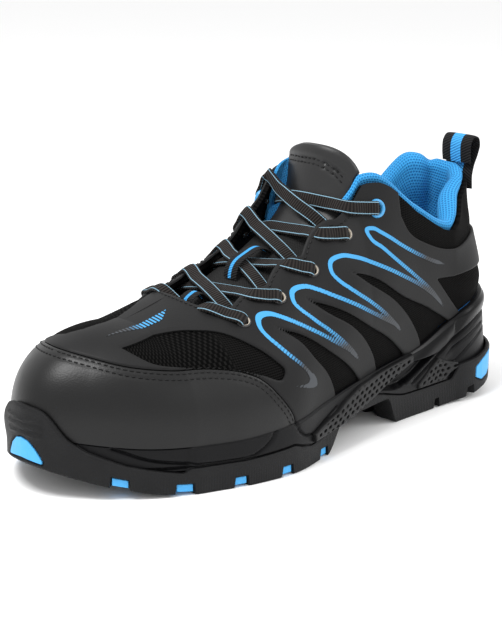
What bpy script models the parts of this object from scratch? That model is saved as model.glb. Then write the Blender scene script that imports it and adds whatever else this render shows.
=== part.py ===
"""Left safety shoe: a hollow lasted upper with overlays on a lugged two-layer sole.

Toe is +X, the outer (lateral) side is +Y, up is +Z. Tables and functions are in millimetres from
the heel; meshes are in metres under one empty that brings the middle of the footprint to the origin.
"""
import bmesh
import bpy
import numpy as np

MM = 0.001
GAP = 0.3                      # left between pieces that touch
WALL = 2.2                     # upper
OVERLAY_FACES = (0.5, 1.5)     # inner and outer face of the overlays above the upper
TOP_EDGE_STEP = 2.5            # midsole's top edge outside the foot of the upper

# Sections of the last. Spine point, direction of the section from +X, half widths of the sole
# outline, foot of the upper (inset from the outline, height, lean), fullness, then the end of the
# section at collar, throat or ridge: distance from the spine, height and inward roll.
COLUMNS = ("x", "y", "deg", "lat", "med", "inset", "feather", "lean", "full_lat", "full_med",
           "edge_lat", "edge_med", "top_lat", "top_med", "roll")
SECTIONS = {
    "heel_back":   (45, 0, 180, 47.5, 47.5, 6.0, 57.5, 4, .42, .42, 38.0, 38.0, 117, 117, 10),
    "heel_turn":   (45, 0, 135, 47.0, 46.0, 8.5, 56.5, 5, .42, .42, 27.0, 32.0, 106, 120, 16),
    "heel_side":   (45, 0, 90, 38.5, 37.5, 5.5, 47.5, 6, .42, .42, 31.0, 32.0, 93.5, 103, 14),
    "heel_front":  (74, 0, 90, 38.5, 35.5, 4.5, 36.5, 7, .45, .46, 32.0, 31.0, 106, 109, 20),
    "quarter_top": (103, -2, 90, 43.0, 33.0, 4.0, 32.5, 8, .50, .56, 31.0, 29.0, 125, 127, 36),
    "waist":       (130, -4, 90, 50.0, 31.5, 4.0, 30.0, 8, .56, .72, 24.0, 21.0, 118, 121, 75),
    "instep":      (158, -6, 90, 58.0, 33.0, 4.0, 27.0, 8, .55, .74, 0.0, 0.0, 106, 97, 90),
    "ball_rear":   (185, -7, 90, 66.0, 39.0, 4.0, 24.5, 9, .56, .67, 0.0, 0.0, 87, 84, 90),
    "ball":        (212, -6, 90, 63.0, 45.5, 4.0, 22.5, 9, .60, .63, 0.0, 0.0, 76, 76, 90),
    "toe_root":    (238, -5, 90, 55.0, 48.0, 4.0, 22.5, 8, .65, .65, 0.0, 0.0, 69.5, 69.5, 90),
    "toe_side":    (238, -5, 60, 49.5, 51.5, 4.0, 23.5, 7, .66, .66, 0.0, 0.0, 69.5, 69.5, 90),
    "toe_turn":    (238, -5, 30, 52.0, 55.5, 4.0, 26.0, 6, .66, .66, 0.0, 0.0, 69.5, 69.5, 90),
    "toe_tip":     (238, -5, 0, 60.0, 60.0, 4.0, 28.0, 5, .66, .66, 0.0, 0.0, 69.5, 69.5, 90),
}
TABLE = np.array(list(SECTIONS.values()), float)
LAST_ROW = len(TABLE) - 1
STRAIGHT_ROWS = (2.0, 9.0)     # rows whose sections stand square to the shoe's length
THROAT = {"top": 107.0, "front": 209.0, "lat": (27.0, 25.0), "med": (29.0, 23.0), "square": 24.0}

# Sole. Ground line: level heel and forefoot, arch and toe spring between and beyond them.
TOE_SPRING = {"start": 232.0, "length": 66.0, "lift": 15.0}
ARCH = {"breast": 94.0, "breast_ramp": 9.0, "fore_end": 158.0, "fore_ramp": 15.0, "lift": 14.5}
HEEL_BEVEL = {"end": 68.0, "length": 68.0, "lift": 11.0}
FOOTBED_HEEL = 39.0            # highest middle of the footbed, under the heel
FOOTBED_CUP = 0.45             # share of the way up to the foot of the upper that it rises to its edge
TREAD = {"fore": 9.8, "heel": 13.0, "arch_top": 19.5, "arch": (84.0, 118.0, 136.0, 172.0)}
LUG_DEPTH = 5.0
LUG_EDGE = 0.012               # half the width of a lug's side wall, in rows
LUG_BEVEL = (0.9, 1.2)         # along the lug's lower outer edge: in from the wall and up
LONG_GROOVE = (0.66, 0.5)      # edges of the groove between side and centre lugs, shares of the half width
GROOVE_DRAFT = 0.7
RIM = 2.2                      # outsole rim around the midsole
RIM_BEVEL = 1.2
RIM_END = 0.2                  # rows by which the midsole stays inside beyond the heel's rim
# Height of the outsole's rim: rows where it rises to the heel wrap and to the toe guard
RIM_ROWS = (0.0, 0.6, 1.0, 1.45, 1.92, 9.2, 9.7, 10.3, 11.0, 11.25, 11.5, 11.65, 12.0)
RIM_HEIGHT = (27.0, 26.8, 26.0, 23.0, 20.5, 9.8, 12.4, 16.0, 23.0, 28.0, 38.0, 41.0, 42.6)
# Gaps between the side lugs: row at the middle, width in rows, whether an inlay fills the gap
LUG_GAPS = {
    "heel_rear": (1.62, 0.16, False),
    "heel_mid":  (2.52, 0.14, False),
    "instep":    (6.12, 0.26, True),
    "ball_rear": (7.25, 0.26, True),
    "ball":      (8.23, 0.28, True),
    "toe_root":  (9.31, 0.34, True),
    "toe_side":  (10.38, 0.34, True),
}
# Leaf-shaped inlays at the corners: rows, and the heights of the leaf's lower and upper edge there
TOE_LEAF = ((11.63, 11.74, 11.87, 12.0), (15.6, 16.2, 16.8, 17.2), (17.0, 22.2, 25.6, 26.6))
HEEL_LEAF = ((1.0, 1.18, 1.36, 1.5), (12.0, 10.6, 9.6, 12.0), (23.2, 22.6, 20.6, 17.6))
CORNER_INLAYS = {
    "inlay_toe": (0, TOE_LEAF),
    "inlay_heel_lat": (1, HEEL_LEAF),
    "inlay_heel_med": (-1, HEEL_LEAF),
}
INLAY_DEPTH = 1.3
INLAY_SUNK = 0.1               # corner inlay's face below the wall
NOTCH_PROUD = 2.0              # its cutter outside the wall
CORNER_ROW = 28.0              # length of a row along the outline at the corners
# Inlay of a lug gap: insets from the wall of its back and face, and how short of the lugs it stays
GAP_INLAY = {"back": 9.0, "top": 1.2, "bottom": 1.0, "short": 1.2}

MIDSOLE_EDGE = 0.4             # inside the outline along the sides
MIDSOLE_FOOT = 0.9             # chamfer along its lower edge
GROOVE_SHARES = (0.38, 0.43, 0.52, 0.57)       # up the wall: the groove's edges and floor
GROOVE_DEPTHS = (0.1, 1.3)     # where the wall is too low for it, and elsewhere
GROOVE_LEAST_WALL = 5.0
BED_INSET = 1.2                # insole and footbed inside the upper's wall
INSOLE_THICK = (3.0, 3.2)      # at the edge and the middle

# Outlines of the overlay's windows in side view, (x, z), round the window from its tip
WINDOWS = {
    "rear":   ((132, 85.5), (117, 81), (92, 67), (65, 54.5), (46, 42), (40, 30), (70, 30), (73, 38),
               (82, 50.5), (98, 65), (118, 77)),
    "middle": ((162, 76.2), (146, 70.6), (121, 57.2), (97, 43), (86, 33), (80, 24), (110, 24),
               (112, 33), (123, 49), (136, 60), (151, 68.6)),
    "front":  ((185, 66.8), (174, 63), (156, 52.5), (128, 31), (120, 20), (146, 20), (149, 28.5),
               (157, 41), (168, 51.7), (175, 59.8)),
    "vamp":   ((256, 64), (236, 67.2), (221, 68), (210, 66.6), (201, 61.5), (193, 54.6), (189, 49),
               (191, 46.3), (202, 50.6), (210, 53.6), (223, 56.6), (239, 58), (250, 60)),
}
HEEL_WINDOW = ((62, 70.5), (47, 69.5), (30, 70.5), (-20, 73), (-20, 20), (30, 20), (40, 48))
COLLAR_PANEL = ((92, 140), (90, 107), (85, 99), (68, 89.5), (47, 84), (25, 86), (-20, 94), (-20, 150))
TOE_CAP = ((184, 10), (185, 24), (194, 37.5), (205, 48.5), (211, 51.2), (224, 54), (245, 55.5),
           (261, 58), (272, 61.5), (285, 66), (310, 80), (330, 60), (330, 10))
MEDIAL_LIMIT = (-22, -13)      # y at which the medial windows end, and the vamp's
SEAM_GAP = 0.4

LINING_END = 4.8               # row at which the collar lining ends beside the tongue
LINING_THIN = 4.2              # row at which its padding has thinned out
LINING_CLEAR = 0.8             # inside the upper's wall
LINING_PAD = (1.2, 3.8, 3.5)   # padding: least, more along the collar, more at the heel
HEEL_PAD = (1.2, 0.7)          # row at the middle of the heel pad and its spread
LINING_OUTSIDE = (34.0, 18.0, 6.0)             # down from the collar's edge, against the wall
LINING_INSIDE = ((18.0, 1.0), (33.0, 0.5))     # down from the edge, share of the padding

EYELETS = {"lat": (107, 129, 152.5, 175, 197.5), "med": (125, 140, 160, 181.5, 203)}
EYELET_BELOW_EDGE = {"lat": (13.0, 9.5, 9.5, 9.5, 9.5), "med": (9.5, 9.5, 9.5, 9.5, 9.5)}
EYELET_SIDES = 8
EYELET_SIZES = {"ring": (2.8, 4.8, 1.6), "rim": (2.3, 3.7, 0.8)}   # bore radius, radius, height
EYELET_CREST = 0.5             # outside the bore

# Tongue, root to lip: centre line (x, z), half width, fall of its sides, thickness
TONGUE_Y = -0.8
TONGUE = {
    "root":   (214, 62.0, 17, 3.0, 3.0),
    "vamp":   (198, 71.0, 21, 3.0, 4.0),
    "mid":    (175, 81.0, 22, 3.5, 4.5),
    "upper":  (150, 92.0, 23, 4.0, 5.0),
    "collar": (128, 111.5, 22, 7.0, 5.0),
    "lip":    (119, 143.0, 24.5, 14.0, 4.5),
}
TONGUE_ROW_LENGTH = 26.0       # along the laced part
TONGUE_CLEAR = 5.0             # kept under the upper, measured upright
TONGUE_FREE = 6.0              # behind the throat's top the tongue stands free
TONGUE_LAP = 4.0               # inside the throat's edge it already lies under the upper
TONGUE_TAPER = 0.55            # share of the thickness lost at the sides
# Rows by which the lip's corners lie lower, and the power of the share across: lateral, medial
LIP_DROP = ((0.32, 3.6), (0.23, 3.0))
MEDIAL_FLAT = 0.5              # share of the fall that the medial side loses towards the lip

LACE_WIDTH = 6.5
LACE_THICK = 2.2
LACE_LIFTS = (2.2, 3.7)        # height above the tongue of the lower and the upper band of a crossing
LACE_EDGES = {"lat": (113, 132, 155, 177.5, 199), "med": (126, 141, 161, 182, 203)}   # x at the edge
LACE_OVER_EDGE = 3.1           # clear height over the overlay at the eyestay's edge
LACE_OVERHANG = 2.5            # past that edge
LACE_REACH = 16.0              # past the tongue's middle
LACE_FAR_SHARE = 0.62          # of the way to the far side's next eyelet
BETWEEN = (0.0, 0.3, 0.65)     # shares of the way from the eyestay's edge to the tongue's middle
STRAP_PROFILE = ((0.5, 0.0), (0.32, 0.5), (-0.32, 0.5), (-0.5, 0.0), (-0.32, -0.5), (0.32, -0.5))
KEEPERS = {"keeper_upper": (2.48, 12.5, 7.4), "keeper_lower": (1.0, 7.0, 7.0)}  # row, half length, height
KEEPER_FOOT = 0.9
KEEPER_WIDTH = 9.0
KEEPER_THICK = 1.1
WEBBING = 1.6
LOOP_WIDTH = 20.0
LOOP_SEWN = (9.0, 6.0, 2.5)  # down the heel from the collar's edge
LOOP_FREE = ((4.4, 121.0), (1.6, 127.0), (0.2, 132.0), (1.5, 135.8), (5.0, 136.5), (7.6, 133.6),
             (8.1, 128.0), (7.3, 122.4))       # side view (x, z)

STRIP_SPAN = (172, 82)
STRIP_HIGH = ((78, 35.0), (95, 33.0), (112, 31.0), (129, 28.5), (142, 24.5), (150, 20.8), (166, 17.0),
              (175, 14.5))
STRIP_LOW = ((79, 31.0), (97, 25.5), (119, 19.0), (134, 15.2), (149, 12.4), (160, 11.8), (175, 11.4))
STRIP_LEAST = 2.0
STRIP_FACES = (0.7, 1.5, 2.2)  # back, edges and crest outside the midsole's wall
# Hollow in each side of the midsole between strip and heel, in side view (x, z)
HEEL_HOLLOW = ((57, 30.6), (70, 30.4), (80, 30.2), (97, 24.6), (112, 20.6), (105, 19.2), (97, 17.4),
               (89, 17.6), (80, 20.9), (69, 26.0))
HOLLOW_DEPTH = 4.0

FINISHES = {                   # colour, roughness
    "rubber": ((0.012, 0.012, 0.013), 0.62),
    "foam": ((0.016, 0.016, 0.018), 0.55),
    "plastic": ((0.018, 0.018, 0.020), 0.5),
    "inlay": ((0.05, 0.31, 0.74), 0.5),
    "fabric": ((0.010, 0.009, 0.009), 0.85),
    "leather": ((0.020, 0.020, 0.021), 0.48),
    "lining": ((0.05, 0.30, 0.72), 0.85),
    "webbing": ((0.012, 0.010, 0.009), 0.8),
}


def column(name, u):
    """A column at u, a row number that may lie between rows: a cubic through the rows."""
    values = TABLE[:, COLUMNS.index(name)]
    slope = np.gradient(values)
    if name != "deg":
        slope[0] = slope[-1] = 0.0
    i = np.clip(np.floor(u).astype(int), 0, LAST_ROW - 1)
    s = u - i
    rise = values[i] * (1 + 2 * s) * (1 - s) ** 2 + values[i + 1] * s * s * (3 - 2 * s)
    return rise + slope[i] * s * (1 - s) ** 2 - slope[i + 1] * s * s * (1 - s)


def sided(name, u, side):
    """A lateral and medial pair of columns, each on its own side (+1 or -1)."""
    lateral, medial = {"half": ("lat", "med"), "edge": ("edge_lat", "edge_med"),
                       "top": ("top_lat", "top_med"), "full": ("full_lat", "full_med")}[name]
    return np.where(side > 0, column(lateral, u), column(medial, u))


def place(u, side, r, z):
    """Point at distance r from the spine along the section's direction, at height z."""
    turn = np.radians(column("deg", u))
    spine = np.clip(u, *STRAIGHT_ROWS)
    x = column("x", spine) + np.cos(turn) * r
    y = column("y", spine) + side * np.sin(turn) * r
    return np.stack(np.broadcast_arrays(x, y, z), -1)


def section(u, side, t):
    """Distance and height of the upper's outer face, a cubic from the sole (t 0) to its end (t 1)."""
    r0 = sided("half", u, side) - column("inset", u)
    z0 = column("feather", u)
    r3 = sided("edge", u, side)
    z3 = sided("top", np.minimum(u, STRAIGHT_ROWS[1]), side)
    lean = np.radians(column("lean", u))
    roll = np.radians(column("roll", u))
    full = sided("full", u, side)
    reach = full * (z3 - z0)
    inward = np.maximum(full * np.abs(r0 - r3), 0.3 * reach * np.cos(roll))
    r = (r0, r0 + reach * np.sin(lean), r3 + inward * np.sin(roll), r3)
    z = (z0, z0 + reach * np.cos(lean), z3 - reach * np.cos(roll), z3)
    weights = ((1 - t) ** 3, 3 * t * (1 - t) ** 2, 3 * t * t * (1 - t), t ** 3)
    return sum(w * p for w, p in zip(weights, r)), sum(w * p for w, p in zip(weights, z))


def skin(u, side, t, lift=0.0):
    """Point of the upper's outer face, moved along its normal by lift."""
    u, side, t = np.broadcast_arrays(np.asarray(u, float), side, np.asarray(t, float))
    point = place(u, side, *section(u, side, t))
    return point + normal(u, side, t) * np.asarray(lift)[..., None] if np.any(lift) else point


def normal(u, side, t):
    """Outward unit normal of the upper's outer face."""
    e = 0.004
    t = np.clip(t, e, 1 - 2 * e)
    ua = np.clip(u - e, 0, LAST_ROW)
    ub = np.clip(u + e, 0, LAST_ROW)
    along = place(ub, side, *section(ub, side, t)) - place(ua, side, *section(ua, side, t))
    up = place(u, side, *section(u, side, t + e)) - place(u, side, *section(u, side, t - e))
    n = np.cross(along, up) * -np.asarray(side)[..., None]
    on_ridge = (t > 1 - 3 * e) & (sided("edge", u, side) < e)
    behind = np.clip(u, *STRAIGHT_ROWS)
    step = [column(name, behind) - column(name, behind - e) for name in ("x", "top_lat")]
    ridge = np.stack([-step[1], 0 * step[0], step[0]], -1)
    n = np.where(on_ridge[..., None], ridge, n)
    return n / np.linalg.norm(n, axis=-1, keepdims=True)


def row_at(x):
    """Row number of the square section at x."""
    rows = np.linspace(*STRAIGHT_ROWS, 701)
    return np.interp(x, column("x", rows), rows)


def throat_half(x, side):
    """Distance of the throat's edge from the shoe's middle plane at x: a long tapering U."""
    f = np.clip((x - THROAT["top"]) / (THROAT["front"] - THROAT["top"]), 0, 1)
    rear, front = THROAT["lat" if side > 0 else "med"]
    return (rear + (front - rear) * f) * np.sqrt(1 - f ** THROAT["square"])


SAMPLES = np.linspace(0, 1, 240)


def open_end(u, side):
    """t at which one section meets the throat's edge, or 1 where it ends at the collar or ridge."""
    x = column("x", np.array([u]))[0]
    if not THROAT["top"] < x < THROAT["front"] or not STRAIGHT_ROWS[0] <= u <= STRAIGHT_ROWS[1]:
        return 1.0
    r = section(np.full(SAMPLES.shape, u), side, SAMPLES)[0]
    edge = throat_half(x, side) - side * column("y", np.array([u]))[0]
    if r[-1] >= edge:
        return 1.0
    falling = np.argmax(r)
    return float(np.interp(-edge, -r[falling:], SAMPLES[falling:]))


def below_edge(u, side, distance):
    """t at a distance down the section from the collar's or throat's edge."""
    t = np.linspace(0, open_end(u, side), 240)
    p = skin(np.full(t.shape, u), side, t)
    length = np.concatenate([[0], np.cumsum(np.linalg.norm(np.diff(p, axis=0), axis=1))])
    return float(np.interp(length[-1] - distance, length, t))


def skin_height(x, y):
    """Height of the upper's outer face over one point in plan, on the straight part of the shoe."""
    u = float(row_at(x))
    side = 1 if y > column("y", np.array([u]))[0] else -1
    r, z = section(np.full(SAMPLES.shape, u), side, SAMPLES)
    top = np.argmax(r)
    return np.interp(-abs(y - column("y", np.array([u]))[0]), -r[top:], z[top:])


def around(rows):
    """Rows and sides once round the shoe: toe, lateral side, heel, medial side."""
    rows = np.asarray(rows, float)
    u = np.concatenate([rows[::-1], rows[1:-1]])
    side = np.concatenate([np.ones(len(rows)), -np.ones(len(rows) - 2)])
    return u, side


def ease(v):
    """Smooth step from 0 to 1."""
    v = np.clip(v, 0, 1)
    return v * v * (3 - 2 * v)


for old in list(bpy.data.objects):
    bpy.data.objects.remove(old, do_unlink=True)
shoe = bpy.data.objects.new("shoe", None)
bpy.context.scene.collection.objects.link(shoe)


def add_object(name, points, faces, finish, smooth_angle=35):
    """One closed mesh object from points in millimetres, its faces turned outwards."""
    mesh = bpy.data.meshes.new(name)
    mesh.from_pydata((np.asarray(points).reshape(-1, 3) * MM).tolist(), [], faces)
    work = bmesh.new()
    work.from_mesh(mesh)
    bmesh.ops.remove_doubles(work, verts=work.verts, dist=2e-6)
    bmesh.ops.dissolve_degenerate(work, edges=work.edges, dist=1e-7)
    bmesh.ops.recalc_face_normals(work, faces=work.faces)
    work.to_mesh(mesh)
    work.free()
    mesh.shade_smooth()
    mesh.set_sharp_from_angle(angle=np.radians(smooth_angle))
    piece = bpy.data.objects.new(name, mesh)
    bpy.context.scene.collection.objects.link(piece)
    piece.parent = shoe
    if finish:
        mesh.materials.append(make_material(name, *FINISHES[finish]))
    return piece


def make_material(name, colour, roughness):
    material = bpy.data.materials.new(name)
    material.use_nodes = True
    shader = material.node_tree.nodes["Principled BSDF"]
    shader.inputs["Base Color"].default_value = (*colour, 1.0)
    shader.inputs["Roughness"].default_value = roughness
    return material


def grid_faces(n, m, wrap_n=False, wrap_m=False):
    """Quads of an n by m grid of points, joined up round either way."""
    faces = []
    for i in range(n if wrap_n else n - 1):
        for j in range(m if wrap_m else m - 1):
            a, b = i, (i + 1) % n
            c, d = j, (j + 1) % m
            faces.append((a * m + c, b * m + c, b * m + d, a * m + d))
    return faces


def thick_sheet(name, outer, inner, finish, wrap=False):
    """Closed solid between two like grids; points that coincide are one, open edges get a rim."""
    n, m = outer.shape[:2]
    flat = outer.reshape(-1, 3)
    _, first, index = np.unique(np.round(flat, 3), axis=0, return_index=True, return_inverse=True)
    index = index.ravel()
    count = len(first)
    points = np.concatenate([flat[first], inner.reshape(-1, 3)[first]])
    faces = []
    edges = {}
    for quad in grid_faces(n, m, wrap):
        corners = []
        for v in quad:
            if index[v] not in corners:
                corners.append(int(index[v]))
        if len(corners) < 3:
            continue
        for k in range(1, len(corners) - 1):
            triangle = (corners[0], corners[k], corners[k + 1])
            faces.append(triangle)
            faces.append([v + count for v in reversed(triangle)])
        for a, b in zip(corners, corners[1:] + corners[:1]):
            edges[a, b] = edges.get((a, b), 0) + 1
    for a, b in edges:
        if (b, a) not in edges:
            faces.append((b, a, a + count, b + count))
    return add_object(name, points, faces, finish)


def stack_of_rings(name, rings, finish):
    """Closed solid from rings round the shoe; the first and last ring lie along the spine."""
    rings = np.stack(rings)
    return add_object(name, rings, grid_faces(*rings.shape[:2], wrap_m=True), finish)


def loft(name, profiles, finish):
    """Closed solid from a run of like closed profiles, capped at both ends."""
    n, m = profiles.shape[:2]
    faces = grid_faces(n, m, wrap_m=True)
    faces.append(tuple(range(m)))
    faces.append(tuple(range((n - 1) * m, n * m)))
    return add_object(name, profiles, faces, finish)


def prism(name, outline, y0, y1):
    """Cutter: a side-view outline carried from y0 to y1."""
    outline = np.asarray(outline, float)
    ends = [np.insert(outline, 1, y, axis=1) for y in (y0, y1)]
    return as_cutter(loft(name, np.stack(ends), None))


def as_cutter(piece):
    piece.hide_render = True
    piece.display_type = "WIRE"
    return piece


def boolean(piece, cutter, operation):
    step = piece.modifiers.new(cutter.name, "BOOLEAN")
    step.operation = operation
    step.solver = "EXACT"
    step.object = cutter


def arch(x):
    """1 under the arch, 0 under heel and forefoot."""
    rear = ease((x - ARCH["breast"]) / ARCH["breast_ramp"])
    return rear * ease((ARCH["fore_end"] - x) / ARCH["fore_ramp"])


def spring(x):
    return TOE_SPRING["lift"] * np.clip((x - TOE_SPRING["start"]) / TOE_SPRING["length"], 0, None) ** 2


def bevel(x):
    return HEEL_BEVEL["lift"] * np.clip((HEEL_BEVEL["end"] - x) / HEEL_BEVEL["length"], 0, None) ** 2


def ground(x):
    """Height of the lugs' lower faces."""
    return ARCH["lift"] * arch(x) + spring(x) + bevel(x)


def outsole_top(x):
    """Height of the outsole's upper face, where the midsole lies on it."""
    a, b, c, d = TREAD["arch"]
    rear = TREAD["heel"] + (TREAD["arch_top"] - TREAD["heel"]) * ease((x - a) / (b - a))
    fall = (TREAD["arch_top"] - TREAD["fore"]) * ease((x - c) / (d - c))
    return rear - fall + 0.75 * spring(x) + 0.5 * bevel(x)


def footbed(u, side, r):
    """Height of the midsole's upper face: a shallow cup that rises evenly from the spine to its edge."""
    low = np.minimum(column("feather", np.clip(u, *STRAIGHT_ROWS)), FOOTBED_HEEL)
    edge = sided("half", u, side) - column("inset", u)
    return low + FOOTBED_CUP * (column("feather", u) - low) * np.clip(r / edge, 0, 1)


def rim_height(u):
    return np.interp(u, RIM_ROWS, RIM_HEIGHT)


def has_rim(u):
    return (u < RIM_ROWS[4]) | (u > RIM_ROWS[5])


def wall_distance(u, side, z):
    """Distance of the upper's outer face from the spine at height z, row by row."""
    out = []
    for row, s, height in zip(u, side, z):
        r, h = section(np.full(SAMPLES.shape, row), s, SAMPLES)
        out.append(np.interp(height, h, r))
    return np.array(out)


# Rows: an even set for the midsole, closer under the arch, and the same with the lugs' edges added
even_rows = np.unique(np.round(np.concatenate([np.linspace(0, 3, 7), np.linspace(3, 6.5, 12),
                                               np.linspace(6.5, 12, 12)]), 4))
gap_spans = {name: (u - w / 2, u + w / 2) for name, (u, w, _) in LUG_GAPS.items()}
gap_edges = np.array(list(gap_spans.values())).ravel()
lug_rows = [v for v in even_rows if np.abs(gap_edges - v).min() > (0.05 if 3 <= v <= 6.5 else 0.2)]
for low, high in gap_spans.values():
    lug_rows += [low - LUG_EDGE, low + LUG_EDGE, high - LUG_EDGE, high + LUG_EDGE]
sole_u, sole_side = around(sorted(lug_rows))
even_u, even_side = around(even_rows)


def build_outsole():
    """Rubber outsole: floor, rim that rises to heel wrap and toe guard, side wall and lugs below."""
    u, side = sole_u, sole_side
    half = sided("half", u, side)
    in_gap = np.zeros(len(u))
    for low, high in gap_spans.values():
        in_gap[(u > low) & (u < high)] = 1.0

    def at(r, z):
        return place(u, side, r, z)

    def on(r, height):
        p = place(u, side, r, 0.0)
        p[:, 2] = height(p[:, 0])
        return p

    def tread(r, cut):
        """Lug face at distance r, raised by the lug depth where cut is 1."""
        p = place(u, side, r, 0.0)
        p[:, 2] = ground(p[:, 0]) + LUG_DEPTH * cut * (1 - arch(p[:, 0]))
        return p

    floor = on(half - 2 * RIM, outsole_top)[:, 2]
    rim = np.where(has_rim(u), np.maximum(rim_height(u), floor + 0.4), floor + 0.1)
    foot = np.minimum(rim, column("feather", u) - 1.0)
    over_cap = OVERLAY_FACES[1] + GAP
    bulge = wall_distance(u, side, np.maximum(rim, column("feather", u))) + over_cap + 3 * GAP
    rim_in = np.where(rim > column("feather", u), bulge, half - RIM)
    outer = np.maximum(half, rim_in + RIM)
    tip_out = np.where(rim > column("feather", u), rim_in + 0.6 * RIM, half - 0.3 * RIM)
    centre_gap = in_gap * (u > STRAIGHT_ROWS[0]) * (u < STRAIGHT_ROWS[1])
    side_lug, centre_lug = half * LONG_GROOVE[0], half * LONG_GROOVE[1]
    wall_low = tread(half, in_gap)
    wall_low[:, 2] += LUG_BEVEL[1]
    wall_mid = at(outer, np.maximum(floor - 1.0, wall_low[:, 2] + 0.8))
    rings = [
        on(0 * half, outsole_top),
        on(half - 2 * RIM, outsole_top),
        at(half - RIM - 0.05, floor),
        at(half - RIM, np.maximum(foot, floor + 0.05)),
        at(rim_in + 0.1, rim),
        at(np.maximum(tip_out, rim_in + 0.5), rim),
        at(outer, np.maximum(rim - RIM_BEVEL, wall_mid[:, 2] + 0.2)),
        wall_mid,
        wall_low,
        tread(half - LUG_BEVEL[0], in_gap),
        tread(side_lug, in_gap),
        tread(side_lug - GROOVE_DRAFT, 1.0),
        tread(centre_lug, 1.0),
        tread(centre_lug - GROOVE_DRAFT, centre_gap),
        tread(0 * half, centre_gap),
    ]
    return stack_of_rings("outsole", rings, "rubber")


def inlay_solid(name, side, leaf, depth, grow, finish):
    """Leaf-shaped block let into the outsole's side wall; side 0 runs round the toe to both sides."""
    u, z0, z1 = np.array(leaf, float)
    sides = np.full(len(u), float(side))
    step = grow / CORNER_ROW * np.linspace(-1, 1, len(u))
    if side == 0:
        back_again = slice(-2, None, -1)
        sides = np.concatenate([np.ones(len(u)), -np.ones(len(u) - 1)])
        step = -grow / CORNER_ROW * np.linspace(1, 0, len(u))
        u, z0, z1, step = (np.concatenate([v, v[back_again]]) for v in (u, z0, z1, step))
    u = u + step
    wall = sided("half", u, sides)
    back = wall - depth - grow
    front = wall + (NOTCH_PROUD if grow else -INLAY_SUNK)
    corners = ((back, z0 - grow), (front, z0 - grow), (front, z1 + grow), (back, z1 + grow))
    profile = [place(u, sides, r, z) for r, z in corners]
    return loft(name, np.stack(profile, 1), finish)


def build_inlays(outsole):
    """Blue rubber blocks at the outer ends of the lug gaps and at toe and heel corners."""
    drop = LUG_DEPTH - GAP_INLAY["short"]
    corners = ((GAP_INLAY["back"], GAP), (GAP_INLAY["top"], GAP), (GAP_INLAY["bottom"], drop),
               (GAP_INLAY["back"], drop))
    for name in [name for name, (_, _, filled) in LUG_GAPS.items() if filled]:
        low, high = gap_spans[name]
        u = np.linspace(low + 2 * LUG_EDGE, high - 2 * LUG_EDGE, 4)
        for word, side in (("lat", 1), ("med", -1)):
            half = sided("half", u, side)
            profile = []
            for inset, down in corners:
                p = place(u, side, half - inset, 0.0)
                p[:, 2] = ground(p[:, 0]) + LUG_DEPTH * (1 - arch(p[:, 0])) - down
                profile.append(p)
            loft(f"inlay_{name}_{word}", np.stack(profile, 1), "inlay")
    for name, (side, leaf) in CORNER_INLAYS.items():
        size = (side, leaf, INLAY_DEPTH)
        inlay_solid(name, *size, 0.0, "inlay")
        boolean(outsole, as_cutter(inlay_solid(name + "_notch", *size, GAP, None)), "DIFFERENCE")


def midsole_edge(u, side):
    """Midsole's outline at its foot: inside the outsole's rim where there is one, and a little beyond."""
    return sided("half", u, side) - np.where(has_rim(u - RIM_END), RIM + 3 * GAP, MIDSOLE_EDGE)


def build_midsole():
    """Foam midsole: on the outsole's floor, a tapering side wall with one groove, and the footbed."""
    u, side = even_u, even_side
    half = sided("half", u, side)
    edge = midsole_edge(u, side)
    top_edge = half - column("inset", u) + TOP_EDGE_STEP
    under_rim = has_rim(u) & (rim_height(u) > column("feather", u) - 4)
    top_edge = np.where(under_rim, half - RIM - 3 * GAP, top_edge)
    top_edge = np.minimum(top_edge, edge - 0.2)
    feather = column("feather", u) - GAP

    def low(r, lift):
        p = place(u, side, r, 0.0)
        p[:, 2] = outsole_top(p[:, 0]) + GAP + lift
        return p

    def wall(share, inward):
        foot = low(edge, MIDSOLE_FOOT)[:, 2]
        return place(u, side, edge + (top_edge - edge) * share - inward, foot + (feather - foot) * share)

    def bed(r):
        return place(u, side, r, footbed(u, side, r) - GAP)

    high_wall = column("feather", u) - low(edge, 0)[:, 2] > GROOVE_LEAST_WALL
    groove = np.where(high_wall, GROOVE_DEPTHS[1], GROOVE_DEPTHS[0])
    a, b, c, d = GROOVE_SHARES
    rings = [low(0 * half, 0), low(half - 2 * RIM, 0), low(edge - MIDSOLE_FOOT, 0),
             wall(0, 0), wall(a, 0), wall(b, groove), wall(c, groove), wall(d, 0),
             wall(0.93, 0), place(u, side, top_edge - 1.0, feather),
             bed(half - column("inset", u) - WALL - BED_INSET), bed(0 * half)]
    midsole = stack_of_rings("midsole", rings, "foam")
    x, z = np.transpose(HEEL_HOLLOW).astype(float)
    for word, way in (("lat", 1), ("med", -1)):
        floor = place(row_at(x), way, midsole_edge(row_at(x), way) - HOLLOW_DEPTH, z)
        clear = floor + np.array((0.0, way * 5 * HOLLOW_DEPTH, 0.0))
        boolean(midsole, as_cutter(loft(f"hollow_{word}", np.stack([floor, clear]), None)), "DIFFERENCE")
    return midsole


def build_insole():
    """Moulded insole, shaped like the footbed and clear of the upper's wall."""
    u, side = even_u, even_side
    edge = sided("half", u, side) - column("inset", u) - WALL - BED_INSET

    def bed(r, lift):
        return place(u, side, r, footbed(u, side, r) + lift)

    rings = [bed(0 * edge, INSOLE_THICK[1]), bed(edge, INSOLE_THICK[0]), bed(edge, 0.0), bed(0 * edge, 0.0)]
    return stack_of_rings("insole", rings, "lining")


throat_rows = row_at(np.array((200.0, 205.0, 208.0, THROAT["front"])))
LAST_ROWS = np.array([v for v in np.linspace(0, 12, 25) if np.abs(v - throat_rows).min() > 0.15])
LAST_ROWS = np.sort(np.concatenate([LAST_ROWS, throat_rows]))


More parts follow.
